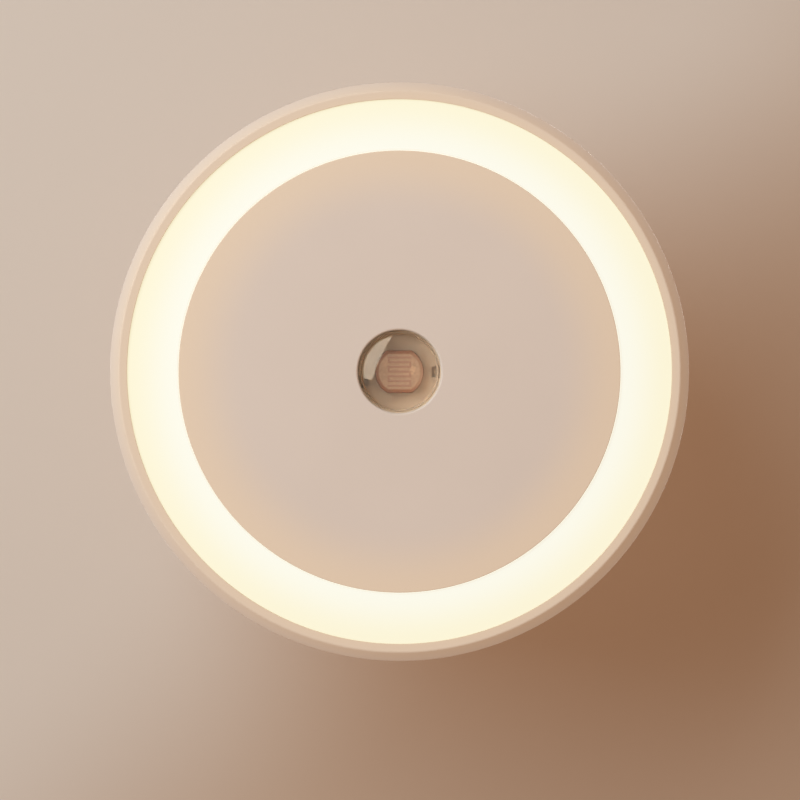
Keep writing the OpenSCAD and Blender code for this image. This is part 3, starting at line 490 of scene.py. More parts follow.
def copies_round(piece, angles):
    """Copies of a piece at angles round the lamp's axis, joined into one object."""
    copies = []
    for angle in angles:
        take(piece)
        bpy.ops.object.duplicate()
        copies.append(bpy.context.object)
        bpy.context.object.rotation_euler.y = -angle
        apply_place(bpy.context.object)
    bpy.data.objects.remove(piece)
    take(copies[0])
    for copy in copies[1:]:
        copy.select_set(True)
    bpy.ops.object.join()
    return copies[0]


def combine(piece, tool, operation="DIFFERENCE"):
    """Cuts a tool out of a piece, or adds it, and deletes the tool."""
    modify(piece, "BOOLEAN", operation=operation, solver="EXACT", object=tool)
    bpy.data.objects.remove(tool)


def rods_round(angles, reach, radius, start, end):
    """Round bars along Y between two levels, at angles and a distance round the lamp's axis."""
    return copies_round(rod(radius, at(reach, start), at(reach, end)), angles)


def add_posts(piece, *places):
    """Adds posts to a piece, placed as rods_round takes them."""
    combine(piece, rods_round(*places), "UNION")


def cut_holes(piece, *places):
    """Cuts holes into a piece, placed as rods_round takes them."""
    combine(piece, rods_round(*places))


def round_edges(piece, test, size):
    """Rounds the edges whose two ends pass a test."""
    choose(piece, "EDGE", test)
    bpy.ops.mesh.bevel(offset=size, segments=EDGE_STEPS, affect="EDGES", clamp_overlap=True)
    bpy.ops.object.mode_set(mode="OBJECT")


def soften(piece, size):
    """Rounds every sharp edge."""
    modify(
        piece, "BEVEL", width=size, segments=EDGE_STEPS, limit_method="ANGLE", angle_limit=SOFTEN_ANGLE,
        use_clamp_overlap=True,
    )


def finish_piece(piece, material, slot, body, *nodes):
    """Gives a piece its shading, its finish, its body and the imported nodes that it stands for."""
    clean(piece)
    # Large faces rule the shading, so that the rounds beside a flat face don't tilt it
    modify(piece, "WEIGHTED_NORMAL", keep_sharp=True)
    piece.data.materials.clear()
    piece.data.materials.append(material)
    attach(piece, body)
    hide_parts(*nodes)


# Finishes

class Finish:
    """Node material on Object coordinates, built up round a Principled shader."""

    def __init__(self, name, values):
        self.material = bpy.data.materials.new(name)
        self.material.use_nodes = True
        self.tree = self.material.node_tree
        self.shader = self.tree.nodes["Principled BSDF"]
        self.coordinates = self.add("ShaderNodeTexCoord").outputs["Object"]
        for socket, value in values.items():
            self.set(socket, value)

    def add(self, kind, inputs=None, **settings):
        """New node with its settings and its inputs, each a value or a socket."""
        node = self.tree.nodes.new(kind)
        for name, value in settings.items():
            setattr(node, name, value)
        for name, value in (inputs or {}).items():
            self.feed(node.inputs[name], value)
        return node

    def feed(self, socket, value):
        """Links a socket to another, or gives it a value."""
        if isinstance(value, bpy.types.NodeSocket):
            self.tree.links.new(value, socket)
        elif socket.type == "RGBA" and len(value) == 3:
            socket.default_value = (*value, 1)
        else:
            socket.default_value = value

    def set(self, socket, value):
        """Feeds one of the shader's own sockets."""
        self.feed(self.shader.inputs[socket], value)

    def stretched(self, scale):
        """Coordinates stretched by a factor along each axis."""
        node = self.add("ShaderNodeMapping", {"Vector": self.coordinates, "Scale": scale})
        return node.outputs["Vector"]

    def noise(self, scale, detail, vector=None):
        """Cloudy pattern, with scale in cells to the metre."""
        inputs = {"Vector": vector or self.coordinates, "Scale": scale, "Detail": detail}
        return self.add("ShaderNodeTexNoise", inputs).outputs["Fac"]

    def spread(self, value, span, result=(0, 1)):
        """Maps one range to another, with soft ends."""
        inputs = {
            "Value": value, "From Min": span[0], "From Max": span[1], "To Min": result[0],
            "To Max": result[1],
        }
        return self.add("ShaderNodeMapRange", inputs, interpolation_type="SMOOTHSTEP").outputs["Result"]

    def blend(self, factor, first, second):
        """Colour between two others."""
        node = self.add("ShaderNodeMix", data_type="RGBA")
        # The node has sockets of one name for each kind of data, so those for colours go by number
        for index, value in ((0, factor), (6, first), (7, second)):
            self.feed(node.inputs[index], value)
        return node.outputs[2]

    def maths(self, operation, first, second=0.0):
        """One step of arithmetic."""
        return self.add("ShaderNodeMath", {0: first, 1: second}, operation=operation).outputs[0]

    def axis(self, name):
        """One of the coordinates."""
        return self.add("ShaderNodeSeparateXYZ", {"Vector": self.coordinates}).outputs[name]

    def along(self, direction):
        """Distance from the origin along a direction."""
        inputs = {0: self.coordinates, 1: direction}
        return self.add("ShaderNodeVectorMath", inputs, operation="DOT_PRODUCT").outputs["Value"]

    def radius(self):
        """Distance from the lamp's axis."""
        flat = self.stretched((1, 0, 1))
        return self.add("ShaderNodeVectorMath", {0: flat}, operation="LENGTH").outputs["Value"]

    def bump(self, height, depth, strength=1.0):
        """Small relief of a depth in metres."""
        node = self.add("ShaderNodeBump", {"Height": height, "Distance": depth, "Strength": strength})
        self.set("Normal", node.outputs["Normal"])


def shade(colour, factor):
    """Colour made darker or lighter."""
    return tuple(min(1.0, c * factor) for c in colour)


def moulded_plastic(name, colour, grain=2600, relief=0.006 * MM, lit=None, reach=None):
    """Satin moulded plastic with a fine grain, clouds of tone and, near the lit ring, a painted glow of
    its light.
    """
    finish = Finish(name, {"Specular IOR Level": 0.4})
    clouds = finish.spread(finish.noise(scale=70, detail=3), NOISE_CORE)
    tone = finish.blend(clouds, shade(colour, 0.99), shade(colour, 1.01))
    if lit:
        # Painted glow: the colour turns towards the lit tint near the ring, standing in for its light
        tone = finish.blend(finish.spread(finish.radius(), reach), tone, lit)
    fine = finish.noise(scale=grain, detail=2)
    finish.set("Base Color", tone)
    finish.set("Roughness", finish.spread(fine, (0.25, 0.75), (0.46, 0.6)))
    finish.bump(fine, relief)
    return finish.material


def lit_diffuser(name, colours, inner, outer):
    """Milky plastic that glows whiter beside the disc and warmer beside the rim."""
    finish = Finish(name, {"Roughness": 0.38, "Emission Strength": colours.glow_strength})
    across = finish.spread(finish.radius(), (inner, outer))
    clouds = finish.spread(finish.noise(scale=160, detail=2), NOISE_CORE, (0.985, 1))
    milk = finish.blend(clouds, shade(colours.diffuser, 0.96), colours.diffuser)
    finish.set("Base Color", milk)
    finish.set("Emission Color", finish.blend(across, colours.glow_inner, colours.glow_outer))
    finish.bump(finish.noise(scale=1800, detail=2), 0.004 * MM)
    return finish.material


def clear_plastic(name, colour):
    """Polished clear plastic with faint smears."""
    finish = Finish(name, {"Transmission Weight": 1, "IOR": 1.49})
    smears = finish.noise(scale=400, detail=3)
    finish.set("Base Color", finish.blend(smears, shade(colour, 0.97), colour))
    finish.set("Roughness", finish.spread(smears, (0.3, 0.8), (0.015, 0.05)))
    return finish.material


def plated_metal(name, colour, rough, scale, stretch=(1, 1, 1)):
    """Plated metal with fine drawn lines or specks."""
    finish = Finish(name, {"Metallic": 1})
    lines = finish.noise(scale, detail=4, vector=finish.stretched(stretch))
    finish.set("Base Color", finish.blend(lines, shade(colour, 0.86), shade(colour, 1.06)))
    finish.set("Roughness", finish.spread(lines, NOISE_WIDE, (rough * 0.8, rough * 1.3)))
    finish.bump(lines, 0.004 * MM, strength=0.6)
    return finish.material


def speckled(name, colour, scale, rough, depth, contrast):
    """Matt coat, board or moulding compound with fine specks."""
    finish = Finish(name, {})
    specks = finish.noise(scale, detail=3)
    tone = finish.blend(specks, shade(colour, 1 - contrast), shade(colour, 1 + contrast))
    finish.set("Base Color", tone)
    finish.set("Roughness", finish.spread(specks, NOISE_WIDE, (rough - 0.08, rough + 0.08)))
    finish.bump(specks, depth)
    return finish.material


def coated_cell(name, colours, half_width, half_height, border):
    """Ceramic cell: a pinkish coated face with grains, and a red-brown border that is partly the coat's
    darker rim and partly painted shade, painted lighter towards +X.
    """
    finish = Finish(name, {"Roughness": 0.36})
    grains = finish.spread(finish.noise(scale=2400, detail=3), NOISE_CORE)
    coat = finish.blend(grains, shade(colours.cell, 0.88), shade(colours.cell, 1.08))
    from_round = finish.maths("SUBTRACT", half_width, finish.radius())
    from_flat = finish.maths("SUBTRACT", half_height, finish.maths("ABSOLUTE", finish.axis("Z")))
    inside = finish.maths("MINIMUM", from_round, from_flat)
    # Border of the coat round the face and the rounded edge: partly its darker rim, partly painted shade
    edge = finish.spread(inside, (border * 0.7, border * 1.2), (1, 0))
    # Painted shade on one side: the border is painted darkest away from +X and fades to less than half
    # towards +X
    painted_shade_fade = finish.spread(finish.axis("X"), (half_width * 0.3, half_width), (1, 0.45))
    tone = finish.blend(finish.maths("MULTIPLY", edge, painted_shade_fade), coat, colours.cell_border_and_shade)
    finish.set("Base Color", tone)
    finish.bump(grains, 0.012 * MM)
    return finish.material


# Places that several pieces share

def post_radius(sizes):
    """Distance of the screw posts from the lamp's axis."""
    return high("cover_screws").z - sizes.cover.screw_head


def disc_post_radius(sizes):
    """Distance of the disc's posts from the lamp's axis."""
    return -low("cap_screws").z - sizes.front.screw_head


def ring_start(sizes):
    """Radius at which the lit ring begins, beside the disc."""
    return high("centre_cap").x + sizes.front.fit


def seam_level(sizes):
    """Level of the rear cover's front edge, at the seam."""
    return low("rear_cover").y + sizes.cover.lip_height


def housing_back(sizes):
    """Level of the drum's back edge, at the seam."""
    return seam_level(sizes) - sizes.drum.seam_gap


# Pieces

class NIGHTLIGHT_OT_drum(bpy.types.Operator):
    """Drum with its chamfered rim, deck, screw posts and the recess of the slide switch"""

    bl_idname = "night_light.drum"
    bl_label = "Drum"
    bl_options = {"REGISTER", "UNDO"}

    def execute(self, context):
        sizes = context.scene.night_light
        drum = sizes.drum
        colours = sizes.colours
        outer = high("front_housing").x
        mouth = outer - drum.wall
        face = low("front_housing").y
        back = housing_back(sizes)
        deck_front = high("led_board").y
        deck_middle = deck_front + drum.deck / 2
        deck_back = deck_front + drum.deck
        piece = turned("drum_shell", [
            (outer, back, drum.edge_round),
            (outer, face + drum.chamfer, drum.edge_round),
            (outer - drum.chamfer, face, drum.edge_round),
            (mouth, face + drum.mouth_drop, drum.mouth_round),
            (mouth, deck_front, 0),
            (drum.deck_hole, deck_front, 0),
            (drum.deck_hole, deck_back, 0),
            (mouth, deck_back, 0),
            (mouth, back, 0),
        ])
        self.build_posts(piece, sizes, deck_middle)
        self.open_deck(piece, sizes, deck_front - PAST, deck_back + PAST)
        self.cut_switch(piece, sizes, outer, deck_middle)
        # Painted glow of the ring's light on the rim, from the middle of the wall to the mouth
        painted_glow_band = (outer + drum.wall / 2, mouth)
        material = moulded_plastic("ivory_drum", colours.shell, lit=colours.shell_painted_glow, reach=painted_glow_band)
        finish_piece(piece, material, "shell", "lamp", "front_housing")
        return {"FINISHED"}

    def build_posts(self, piece, sizes, top):
        """Screw posts behind the deck, with their pilot holes."""
        reach = post_radius(sizes)
        end = high("front_housing").y
        hole_end = low("cover_screws").y - sizes.front.fit
        add_posts(piece, POST_ANGLES, reach, sizes.drum.post, top, end)
        cut_holes(piece, POST_ANGLES, reach, sizes.drum.pilot, hole_end, end + PAST)

    def open_deck(self, piece, sizes, front, back):
        """Openings in the deck for the disc's screws and the link pins."""
        drum = sizes.drum
        cut_holes(piece, DISC_POST_ANGLES, disc_post_radius(sizes), drum.screw_pass, front, back)
        room = Vector((drum.pin_gap, 0, drum.pin_gap))
        lowest = low("header_block") - room
        highest = high("header_block") + room
        lowest.y = front
        highest.y = back
        combine(piece, block(lowest, highest))

    def cut_switch(self, piece, sizes, outer, deck_middle):
        """Wall behind the switch, recess for a fingertip and slot for the knob."""
        switch = sizes.switch
        small = sizes.drum.edge_round
        level = middle("switch_knob").y
        flat = low("switch_knob").z + switch.proud
        behind = flat + switch.wall
        outside = -outer - PAST
        pad_end = housing_back(sizes) - small / 2
        pad = rod(outer - sizes.drum.wall / 2, at(0, deck_middle), at(0, pad_end), FINE_STEPS)
        choose(pad, "FACE", lambda co: True)
        bpy.ops.mesh.bisect(
            plane_co=(0, 0, behind), plane_no=(0, 0, 1), use_fill=True, clear_outer=True,
            threshold=SAME_PLACE,
        )
        bpy.ops.object.mode_set(mode="OBJECT")
        combine(piece, pad, "UNION")
        half = switch.knob_height / 2 + switch.finger_room
        combine(piece, upright_block(0, level, outer, half, outside, flat))
        slot_x = switch.knob_width / 2 + switch.travel + switch.gap
        slot_y = switch.knob_height / 2 + switch.gap
        combine(piece, upright_block(0, level, slot_x, slot_y, outside, behind + PAST))
        clean(piece)
        round_edges(
            piece, lambda co: abs(abs(co.y - level) - half) < SAME_PLACE and co.z < flat - small, small
        )
        self.engrave_marks(piece, switch, outer, level - half - switch.mark_distance)

    def engrave_marks(self, piece, switch, outer, y):
        """Ring, dot and bar beside the knob's three places."""
        size = switch.mark_size
        line = switch.mark_line
        step = switch.travel + size / 2
        side_z = -math.sqrt(outer ** 2 - step ** 2)
        deselect_all()
        bpy.ops.mesh.primitive_torus_add(
            location=(-step, y, side_z), major_radius=(size - line) / 2, minor_radius=line / 2,
            major_segments=SMALL_STEPS, minor_segments=MARK_STEPS,
        )
        combine(piece, apply_place(bpy.context.object))
        deselect_all()
        bpy.ops.mesh.primitive_uv_sphere_add(
            location=(0, y, -outer), radius=line, segments=SMALL_STEPS, ring_count=MARK_STEPS
        )
        combine(piece, apply_place(bpy.context.object))
        bar = upright_block(step, y, line / 2, size / 2, side_z - line / 2, side_z + line / 2)
        soften(bar, line / 3)
        combine(piece, bar)


class NIGHTLIGHT_OT_back(bpy.types.Operator):
    """Rear cover with its boss, screw recesses, standoffs and heat stakes"""

    bl_idname = "night_light.back"
    bl_label = "Back"
    bl_options = {"REGISTER", "UNDO"}

    def execute(self, context):
        sizes = context.scene.night_light
        cover = sizes.cover
        outer = high("rear_cover").x
        seam = seam_level(sizes)
        ring_back = -cover.boss_depth
        ring_floor = ring_back - cover.wall
        boss_inner = cover.boss - cover.wall
        lip_top = low("rear_cover").y
        lip_outer = outer - sizes.drum.wall - sizes.front.fit
        lip_inner = lip_outer - cover.lip
        small = sizes.drum.edge_round
        piece = turned("back_shell", [
            (0, 0, 0),
            (cover.boss, 0, cover.boss_round),
            (cover.boss, ring_back, small),
            (outer, ring_back, cover.back_round),
            (outer, seam, 0),
            (lip_outer, seam, 0),
            (lip_outer, lip_top, small),
            (lip_inner, lip_top, small),
            (lip_inner, ring_floor, 0),
            (boss_inner, ring_floor, 0),
            (boss_inner, -cover.wall, 0),
            (0, -cover.wall, 0),
        ], closed=False)
        self.build_posts(piece, sizes, ring_floor)
        self.cut_openings(piece, sizes, ring_back, ring_floor)
        material = moulded_plastic("ivory_back", sizes.colours.shell, grain=1900, relief=0.01 * MM)
        finish_piece(piece, material, "shell", "lamp", "rear_cover")
        return {"FINISHED"}

    def build_posts(self, piece, sizes, ring_floor):
        """Pads of the screw posts, standoffs of the power board and heat stakes of the blade carrier."""
        cover = sizes.cover
        root = cover.wall / 2
        pad_top = high("front_housing").y
        add_posts(piece, POST_ANGLES, post_radius(sizes), sizes.drum.post, pad_top, ring_floor + root)
        screw_x = high("power_board_screws").x - sizes.front.screw_head
        screw_end = high("power_board_screws").y + sizes.front.fit
        top = high("power_board").y
        add_posts(piece, BOTH_SIDES, screw_x, cover.standoff, top, -root)
        cut_holes(piece, BOTH_SIDES, screw_x, cover.standoff_pilot, top - PAST, screw_end)
        stake_x = cover.stake_offset
        carrier_top = low("blade_carrier").y
        head_top = carrier_top - cover.stake_head_height
        add_posts(piece, STAKE_ANGLES, stake_x, cover.stake, head_top, -root)
        head = rod(cover.stake_head, at(stake_x, head_top), at(stake_x, carrier_top))
        soften(head, cover.stake_head_height / 2)
        combine(piece, copies_round(head, STAKE_ANGLES), "UNION")

    def cut_openings(self, piece, sizes, ring_back, ring_floor):
        """Screw recesses and holes, slots for the blades and the gap in the lip behind the switch."""
        cover = sizes.cover
        reach = post_radius(sizes)
        recess_floor = ring_back - cover.recess_depth
        flare = sizes.drum.edge_round
        recess = turned("recess_tool", [
            (0, recess_floor, 0),
            (cover.recess, recess_floor, 0),
            *flared_mouth(cover.recess, ring_back, flare),
            (cover.recess + flare, ring_back + PAST, 0),
            (0, ring_back + PAST, 0),
        ], SMALL_STEPS, closed=False)
        recess.location.x = reach
        combine(piece, copies_round(apply_place(recess), POST_ANGLES))
        cut_holes(piece, POST_ANGLES, reach, sizes.drum.screw_pass, ring_floor - 2 * PAST, ring_back)
        gap = sizes.plug.slot_gap
        for blade in ("blade_left", "blade_right"):
            lowest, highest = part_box(blade)
            half_width = highest.z - sizes.plug.shoulder_step + gap
            combine(piece, block(
                Vector((lowest.x - gap, -cover.wall - PAST, -half_width)),
                Vector((highest.x + gap, PAST, half_width)),
            ))
        lowest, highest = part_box("rear_cover")
        combine(piece, block(
            Vector((-cover.lip_gap, lowest.y - PAST, -highest.x)),
            Vector((cover.lip_gap, seam_level(sizes), 0)),
        ))


class NIGHTLIGHT_OT_ring(bpy.types.Operator):
    """Lit ring with its ledge and the two skirts that stand on the lamp board"""

    bl_idname = "night_light.ring"
    bl_label = "Lit ring"
    bl_options = {"REGISTER", "UNDO"}

    def execute(self, context):
        sizes = context.scene.night_light
        front = sizes.front
        outer = high("front_housing").x - sizes.drum.wall - front.ring_gap
        face = low("diffuser_ring").y
        foot = high("diffuser_ring").y
        step = ring_start(sizes)
        inner = step - front.ledge
        disc_back = low("centre_cap").y + front.disc
        ceiling = face + front.diffuser
        ledge_back = disc_back + front.diffuser
        wall_end = step + front.diffuser / 2
        piece = turned("glow_ring", [
            (step, face, sizes.drum.edge_round),
            (outer, face, front.ring_round),
            (outer, foot, 0),
            (outer - front.skirt, foot, 0),
            (outer - front.skirt, ceiling, 0),
            (wall_end, ceiling, 0),
            (wall_end, ledge_back, 0),
            (inner + front.skirt, ledge_back, 0),
            (inner + front.skirt, foot, 0),
            (inner, foot, 0),
            (inner, disc_back, 0),
            (step, disc_back, 0),
        ])
        material = lit_diffuser("lit_milky", sizes.colours, step, outer)
        finish_piece(piece, material, "diffuser", "lamp", "diffuser_ring")
        return {"FINISHED"}


class NIGHTLIGHT_OT_disc(bpy.types.Operator):
    """Plain disc with the sensor hole, its skirt, the nest of the window and three posts"""

    bl_idname = "night_light.disc"
    bl_label = "Disc"
    bl_options = {"REGISTER", "UNDO"}

    def execute(self, context):
        sizes = context.scene.night_light
        front = sizes.front
        sensor = sizes.sensor
        colours = sizes.colours
        outer = high("centre_cap").x
        face = low("centre_cap").y
        back = face + front.disc
        skirt = ring_start(sizes) - front.ledge - front.fit
        skirt_end = back + front.disc_skirt_height
        nest = high("sensor_window").x + front.fit
        nest_end = back + sensor.nest_height
        piece = turned("front_disc", [
            (sensor.hole, face, front.hole_round),
            (outer, face, front.disc_round),
            (outer, back, 0),
            (skirt, back, 0),
            (skirt, skirt_end, 0),
            (skirt - front.disc_skirt, skirt_end, 0),
            (skirt - front.disc_skirt, back, 0),
            (nest + sensor.nest_wall, back, 0),
            (nest + sensor.nest_wall, nest_end, 0),
            (nest, nest_end, 0),
            (nest, back, 0),
            (sensor.hole, back, 0),
        ])
        reach = disc_post_radius(sizes)
        foot = high("centre_cap").y
        hole_end = low("cap_screws").y - front.fit
        add_posts(piece, DISC_POST_ANGLES, reach, front.post, back - front.disc / 2, foot)
        cut_holes(piece, DISC_POST_ANGLES, reach, sizes.drum.pilot, hole_end, foot + PAST)
        # Painted glow of the ring's light on the disc's outer zone
        painted_glow_band = (outer - front.painted_glow_band, outer)
        material = moulded_plastic("ivory_disc", colours.shell, lit=colours.shell_painted_glow, reach=painted_glow_band)
        finish_piece(piece, material, "shell", "lamp", "centre_cap")
        return {"FINISHED"}


class NIGHTLIGHT_OT_window(bpy.types.Operator):
    """Clear domed window of the dusk sensor with its flange"""

    bl_idname = "night_light.window"
    bl_label = "Sensor window"
    bl_options = {"REGISTER", "UNDO"}

    def execute(self, context):
        sizes = context.scene.night_light
        sensor = sizes.sensor
        barrel = sensor.hole - sensor.window_fit
        inner = barrel - sensor.wall
        back = high("sensor_window").y
        flange = high("sensor_window").x
        dome = (barrel ** 2 + sensor.dome ** 2) / (2 * sensor.dome)
        centre = low("sensor_window").y + dome
        piece = turned("clear_window", [
            *arc(dome, centre, 0, barrel),
            (barrel, back - sensor.flange, 0),
            (flange, back - sensor.flange, 0),
            (flange, back, 0),
            (inner, back, 0),
            *arc(dome - sensor.wall, centre, inner, 0),
        ], closed=False)
        material = clear_plastic("clear_polished", sizes.colours.window)
        finish_piece(piece, material, "clear_window", "lamp", "sensor_window")
        # Light reaches the cell through the window
        piece.visible_shadow = False
        return {"FINISHED"}


class NIGHTLIGHT_OT_sleeve(bpy.types.Operator):
    """Sleeve that keeps the ring's light from the cell, with the floor that the cell rests on"""

    bl_idname = "night_light.sleeve"
    bl_label = "Sensor sleeve"
    bl_options = {"REGISTER", "UNDO"}

    def execute(self, context):
        sizes = context.scene.night_light
        sensor = sizes.sensor
        outer = high("sensor_sleeve").x
        inner = outer - sensor.sleeve_wall
        front = low("sensor_sleeve").y
        back = high("sensor_sleeve").y
        floor = high("photoresistor_base").y
        floor_back = floor + sensor.sleeve_floor
        small = sizes.drum.edge_round
        piece = turned("sensor_sleeve_cup", [
            (0, floor, 0),
            (inner, floor, 0),
            (inner, front, small),
            (outer, front, small),
            (outer, back, small),
            (inner, back, small),
            (inner, floor_back, 0),
            (0, floor_back, 0),
        ], MIDDLE_STEPS, closed=False)
        lead_x = high("photoresistor_leads").x - sensor.lead
        lead_hole = sensor.lead + sensor.lead_gap
        cut_holes(piece, BOTH_SIDES, lead_x, lead_hole, floor - PAST, floor_back + PAST)
        half = Vector((sensor.slot_width, 0, sensor.slot_length)) / 2
        slot_x = inner - sensor.slot_edge - half.x
        slot = block(at(slot_x, floor - PAST) - half, at(slot_x, floor + sensor.slot_depth) + half)
        combine(piece, copies_round(slot, SLOT_ANGLES))
        material = moulded_plastic("sleeve_tan", sizes.colours.sleeve)
        finish_piece(piece, material, "shell", "lamp", "sensor_sleeve")
        return {"FINISHED"}


class NIGHTLIGHT_OT_cell(bpy.types.Operator):
    """Cell of the dusk sensor, round with two flats"""

    bl_idname = "night_light.cell"
    bl_label = "Sensor cell"
    bl_options = {"REGISTER", "UNDO"}

    def execute(self, context):
        sizes = context.scene.night_light
        lowest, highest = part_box("photoresistor_base")
        size = sizes.sensor.cell_round
        bend = math.asin(highest.z / highest.x)
        angles = [bend * (2 * i / CELL_STEPS - 1) for i in range(CELL_STEPS + 1)]
        side = [(highest.x * math.cos(a), highest.x * math.sin(a)) for a in angles]
        piece = plate(
            "cell_body", side + [(-x, -z) for x, z in side], highest.y - lowest.y - size,
            turn=(math.pi / 2, 0, 0), place=(0, highest.y, 0),
        )
        choose(piece, "FACE", lambda co: co.y < lowest.y + size + SAME_PLACE)
        turn = math.pi / 2 / CORNER_STEPS
        for i in range(CORNER_STEPS):
            bpy.ops.mesh.inset(
                thickness=size * (math.cos(i * turn) - math.cos((i + 1) * turn)),
                depth=size * (math.sin((i + 1) * turn) - math.sin(i * turn)),
            )
        bpy.ops.object.mode_set(mode="OBJECT")
        material = coated_cell(
            "cell_coat", sizes.colours, highest.x, highest.z, sizes.sensor.cell_border
        )
        finish_piece(piece, material, "cell_ceramic", "lamp", "photoresistor_base")
        return {"FINISHED"}


class NIGHTLIGHT_OT_blades(bpy.types.Operator):
    """Two flat plug blades with bevelled tips and latch holes"""

    bl_idname = "night_light.blades"
    bl_label = "Plug blades"
    bl_options = {"REGISTER", "UNDO"}

    def execute(self, context):
        sizes = context.scene.night_light
        nickel = sizes.colours.nickel
        material = plated_metal("nickel_plate", nickel, rough=0.28, scale=300, stretch=(30, 1, 30))
        for side in ("left", "right"):
            node = f"blade_{side}"
            piece = self.blade(f"plug_blade_{side}", *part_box(node), sizes)
            finish_piece(piece, material, "blade_metal", "lamp", node)
        return {"FINISHED"}

    def blade(self, name, lowest, highest, sizes):
        """Blade with its shoulder and solder tail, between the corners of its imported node."""
        plug = sizes.plug
        half = highest.z - plug.shoulder_step
        floor = -sizes.cover.wall
        shoulder = floor - plug.shoulder
        thickness = highest.x - lowest.x
        side = [
            (plug.tail / 2, lowest.y),
            (plug.tail / 2, shoulder),
            (highest.z, shoulder),
            (highest.z, floor),
            (half, floor),
            (half, highest.y - plug.tip),
            (half - plug.tip, highest.y),
        ]
        mirrored = [(-x, y) for x, y in reversed(side)]
        piece = plate(
            name, side + mirrored, thickness, turn=(0, math.pi / 2, 0), place=(lowest.x, 0, 0)
        )
        hole = at((lowest.x + highest.x) / 2, highest.y - plug.hole_end)
        across = Vector((thickness + PAST, 0, 0))
        combine(piece, rod(plug.hole, hole - across, hole + across))
        soften(clean(piece), plug.edge_round)
        return piece


class NIGHTLIGHT_OT_screws(bpy.types.Operator):
    """Three pan-head screws in the recesses of the back"""

    bl_idname = "night_light.screws"
    bl_label = "Cover screws"
    bl_options = {"REGISTER", "UNDO"}

    def execute(self, context):
        sizes = context.scene.night_light
        cover = sizes.cover
        head_end = high("cover_screws").y
        seat = head_end - cover.screw_head_height
        tip = low("cover_screws").y
        screw = turned("back_screws", [
            (0, tip, 0),
            (cover.screw_shank, tip, cover.screw_shank / 3),
            (cover.screw_shank, seat, 0),
            (cover.screw_head, seat, 0),
            (cover.screw_head, head_end, cover.screw_head_height / 2),
            (0, head_end, 0),
        ], SMALL_STEPS, closed=False)
        arm = Vector((cover.cross_length, 0, cover.cross_width)) / 2
        cross_end = head_end - cover.cross_depth
        for half in (arm, arm.zyx):
            combine(screw, block(at(0, cross_end) - half, at(0, head_end + PAST) + half))
        screw.location.x = post_radius(sizes)
        piece = copies_round(apply_place(screw), POST_ANGLES)
        piece.name = "back_screws"
        material = plated_metal("zinc_plate", sizes.colours.zinc, rough=0.34, scale=1600)
        finish_piece(piece, material, "screw_steel", "lamp", "cover_screws")
        return {"FINISHED"}


class NIGHTLIGHT_OT_knob(bpy.types.Operator):
    """Knob of the slide switch with its grip grooves and the flange behind the wall"""

    bl_idname = "night_light.knob"
    bl_label = "Slide knob"
    bl_options = {"REGISTER", "UNDO"}

    def execute(self, context):
        sizes = context.scene.night_light
        switch = sizes.switch
        small = sizes.drum.edge_round
        lowest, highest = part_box("switch_knob")
        level = middle("switch_knob").y
        half_x = switch.knob_width / 2
        half_y = switch.knob_height / 2
        piece = upright_block(0, level, half_x, half_y, lowest.z, highest.z)
        piece.name = "slide_knob"
        groove_x = switch.groove_width / 2
        groove_end = lowest.z + switch.groove_depth
        for i in range(switch.groove_count):
            x = (i - (switch.groove_count - 1) / 2) * switch.groove_pitch
            groove = upright_block(x, level, groove_x, half_y + PAST, lowest.z - PAST, groove_end)
            combine(piece, groove)
        soften(piece, small)
        flange = block(Vector((lowest.x, lowest.y, highest.z - switch.flange)), highest)
        soften(flange, small)
        combine(piece, flange, "UNION")
        pocket = switch.lever / 2 + switch.lever_gap
        pocket_end = low("switch_lever").z - switch.lever_gap
        combine(piece, upright_block(0, level, pocket, pocket, pocket_end, highest.z + PAST))
        material = moulded_plastic("ivory_knob", sizes.colours.knob, grain=2200, relief=0.008 * MM)
        finish_piece(piece, material, "knob_plastic", "mode_switch", "switch_knob")
        return {"FINISHED"}


# Coats of inner pieces: their nodes, colour, specks to the metre, roughness, relief and contrast
INNER_COATS = {
    "white_mask": (("led_board",), (0.78, 0.79, 0.76), 700, 0.3, 0.003 * MM, 0.03),
    "white_chip": (("led_packages",), (0.87, 0.86, 0.83), 1500, 0.4, 0.003 * MM, 0.03),
    "yellow_gel": (("led_phosphors",), (0.82, 0.62, 0.08), 2600, 0.35, 0.01 * MM, 0.14),
    "white_film": (("reflector_sheet",), (0.86, 0.85, 0.82), 900, 0.45, 0.004 * MM, 0.03),
    "tan_laminate": (("power_board",), (0.32, 0.21, 0.07), 1100, 0.5, 0.01 * MM, 0.2),
    "red_brown_dip": (("film_capacitor",), (0.40, 0.06, 0.025), 600, 0.25, 0.01 * MM, 0.1),
    "black_sleeve": (("smoothing_capacitor",), (0.016, 0.016, 0.018), 500, 0.3, 0.004 * MM, 0.15),
    "black_moulding": (
        ("bridge_rectifier", "sense_transistor", "header_block", "switch_body"),
        (0.012, 0.012, 0.013), 1500, 0.55, 0.01 * MM, 0.16,
    ),
    "dark_carrier": (("blade_carrier",), (0.035, 0.032, 0.03), 1300, 0.5, 0.01 * MM, 0.16),
    "tan_lacquer": (
        ("fuse_resistor", "bleed_resistor"), (0.53, 0.39, 0.22), 1200, 0.4, 0.004 * MM, 0.08,
    ),
    "white_acetal": (("switch_lever",), (0.82, 0.79, 0.74), 1500, 0.4, 0.004 * MM, 0.03),
}


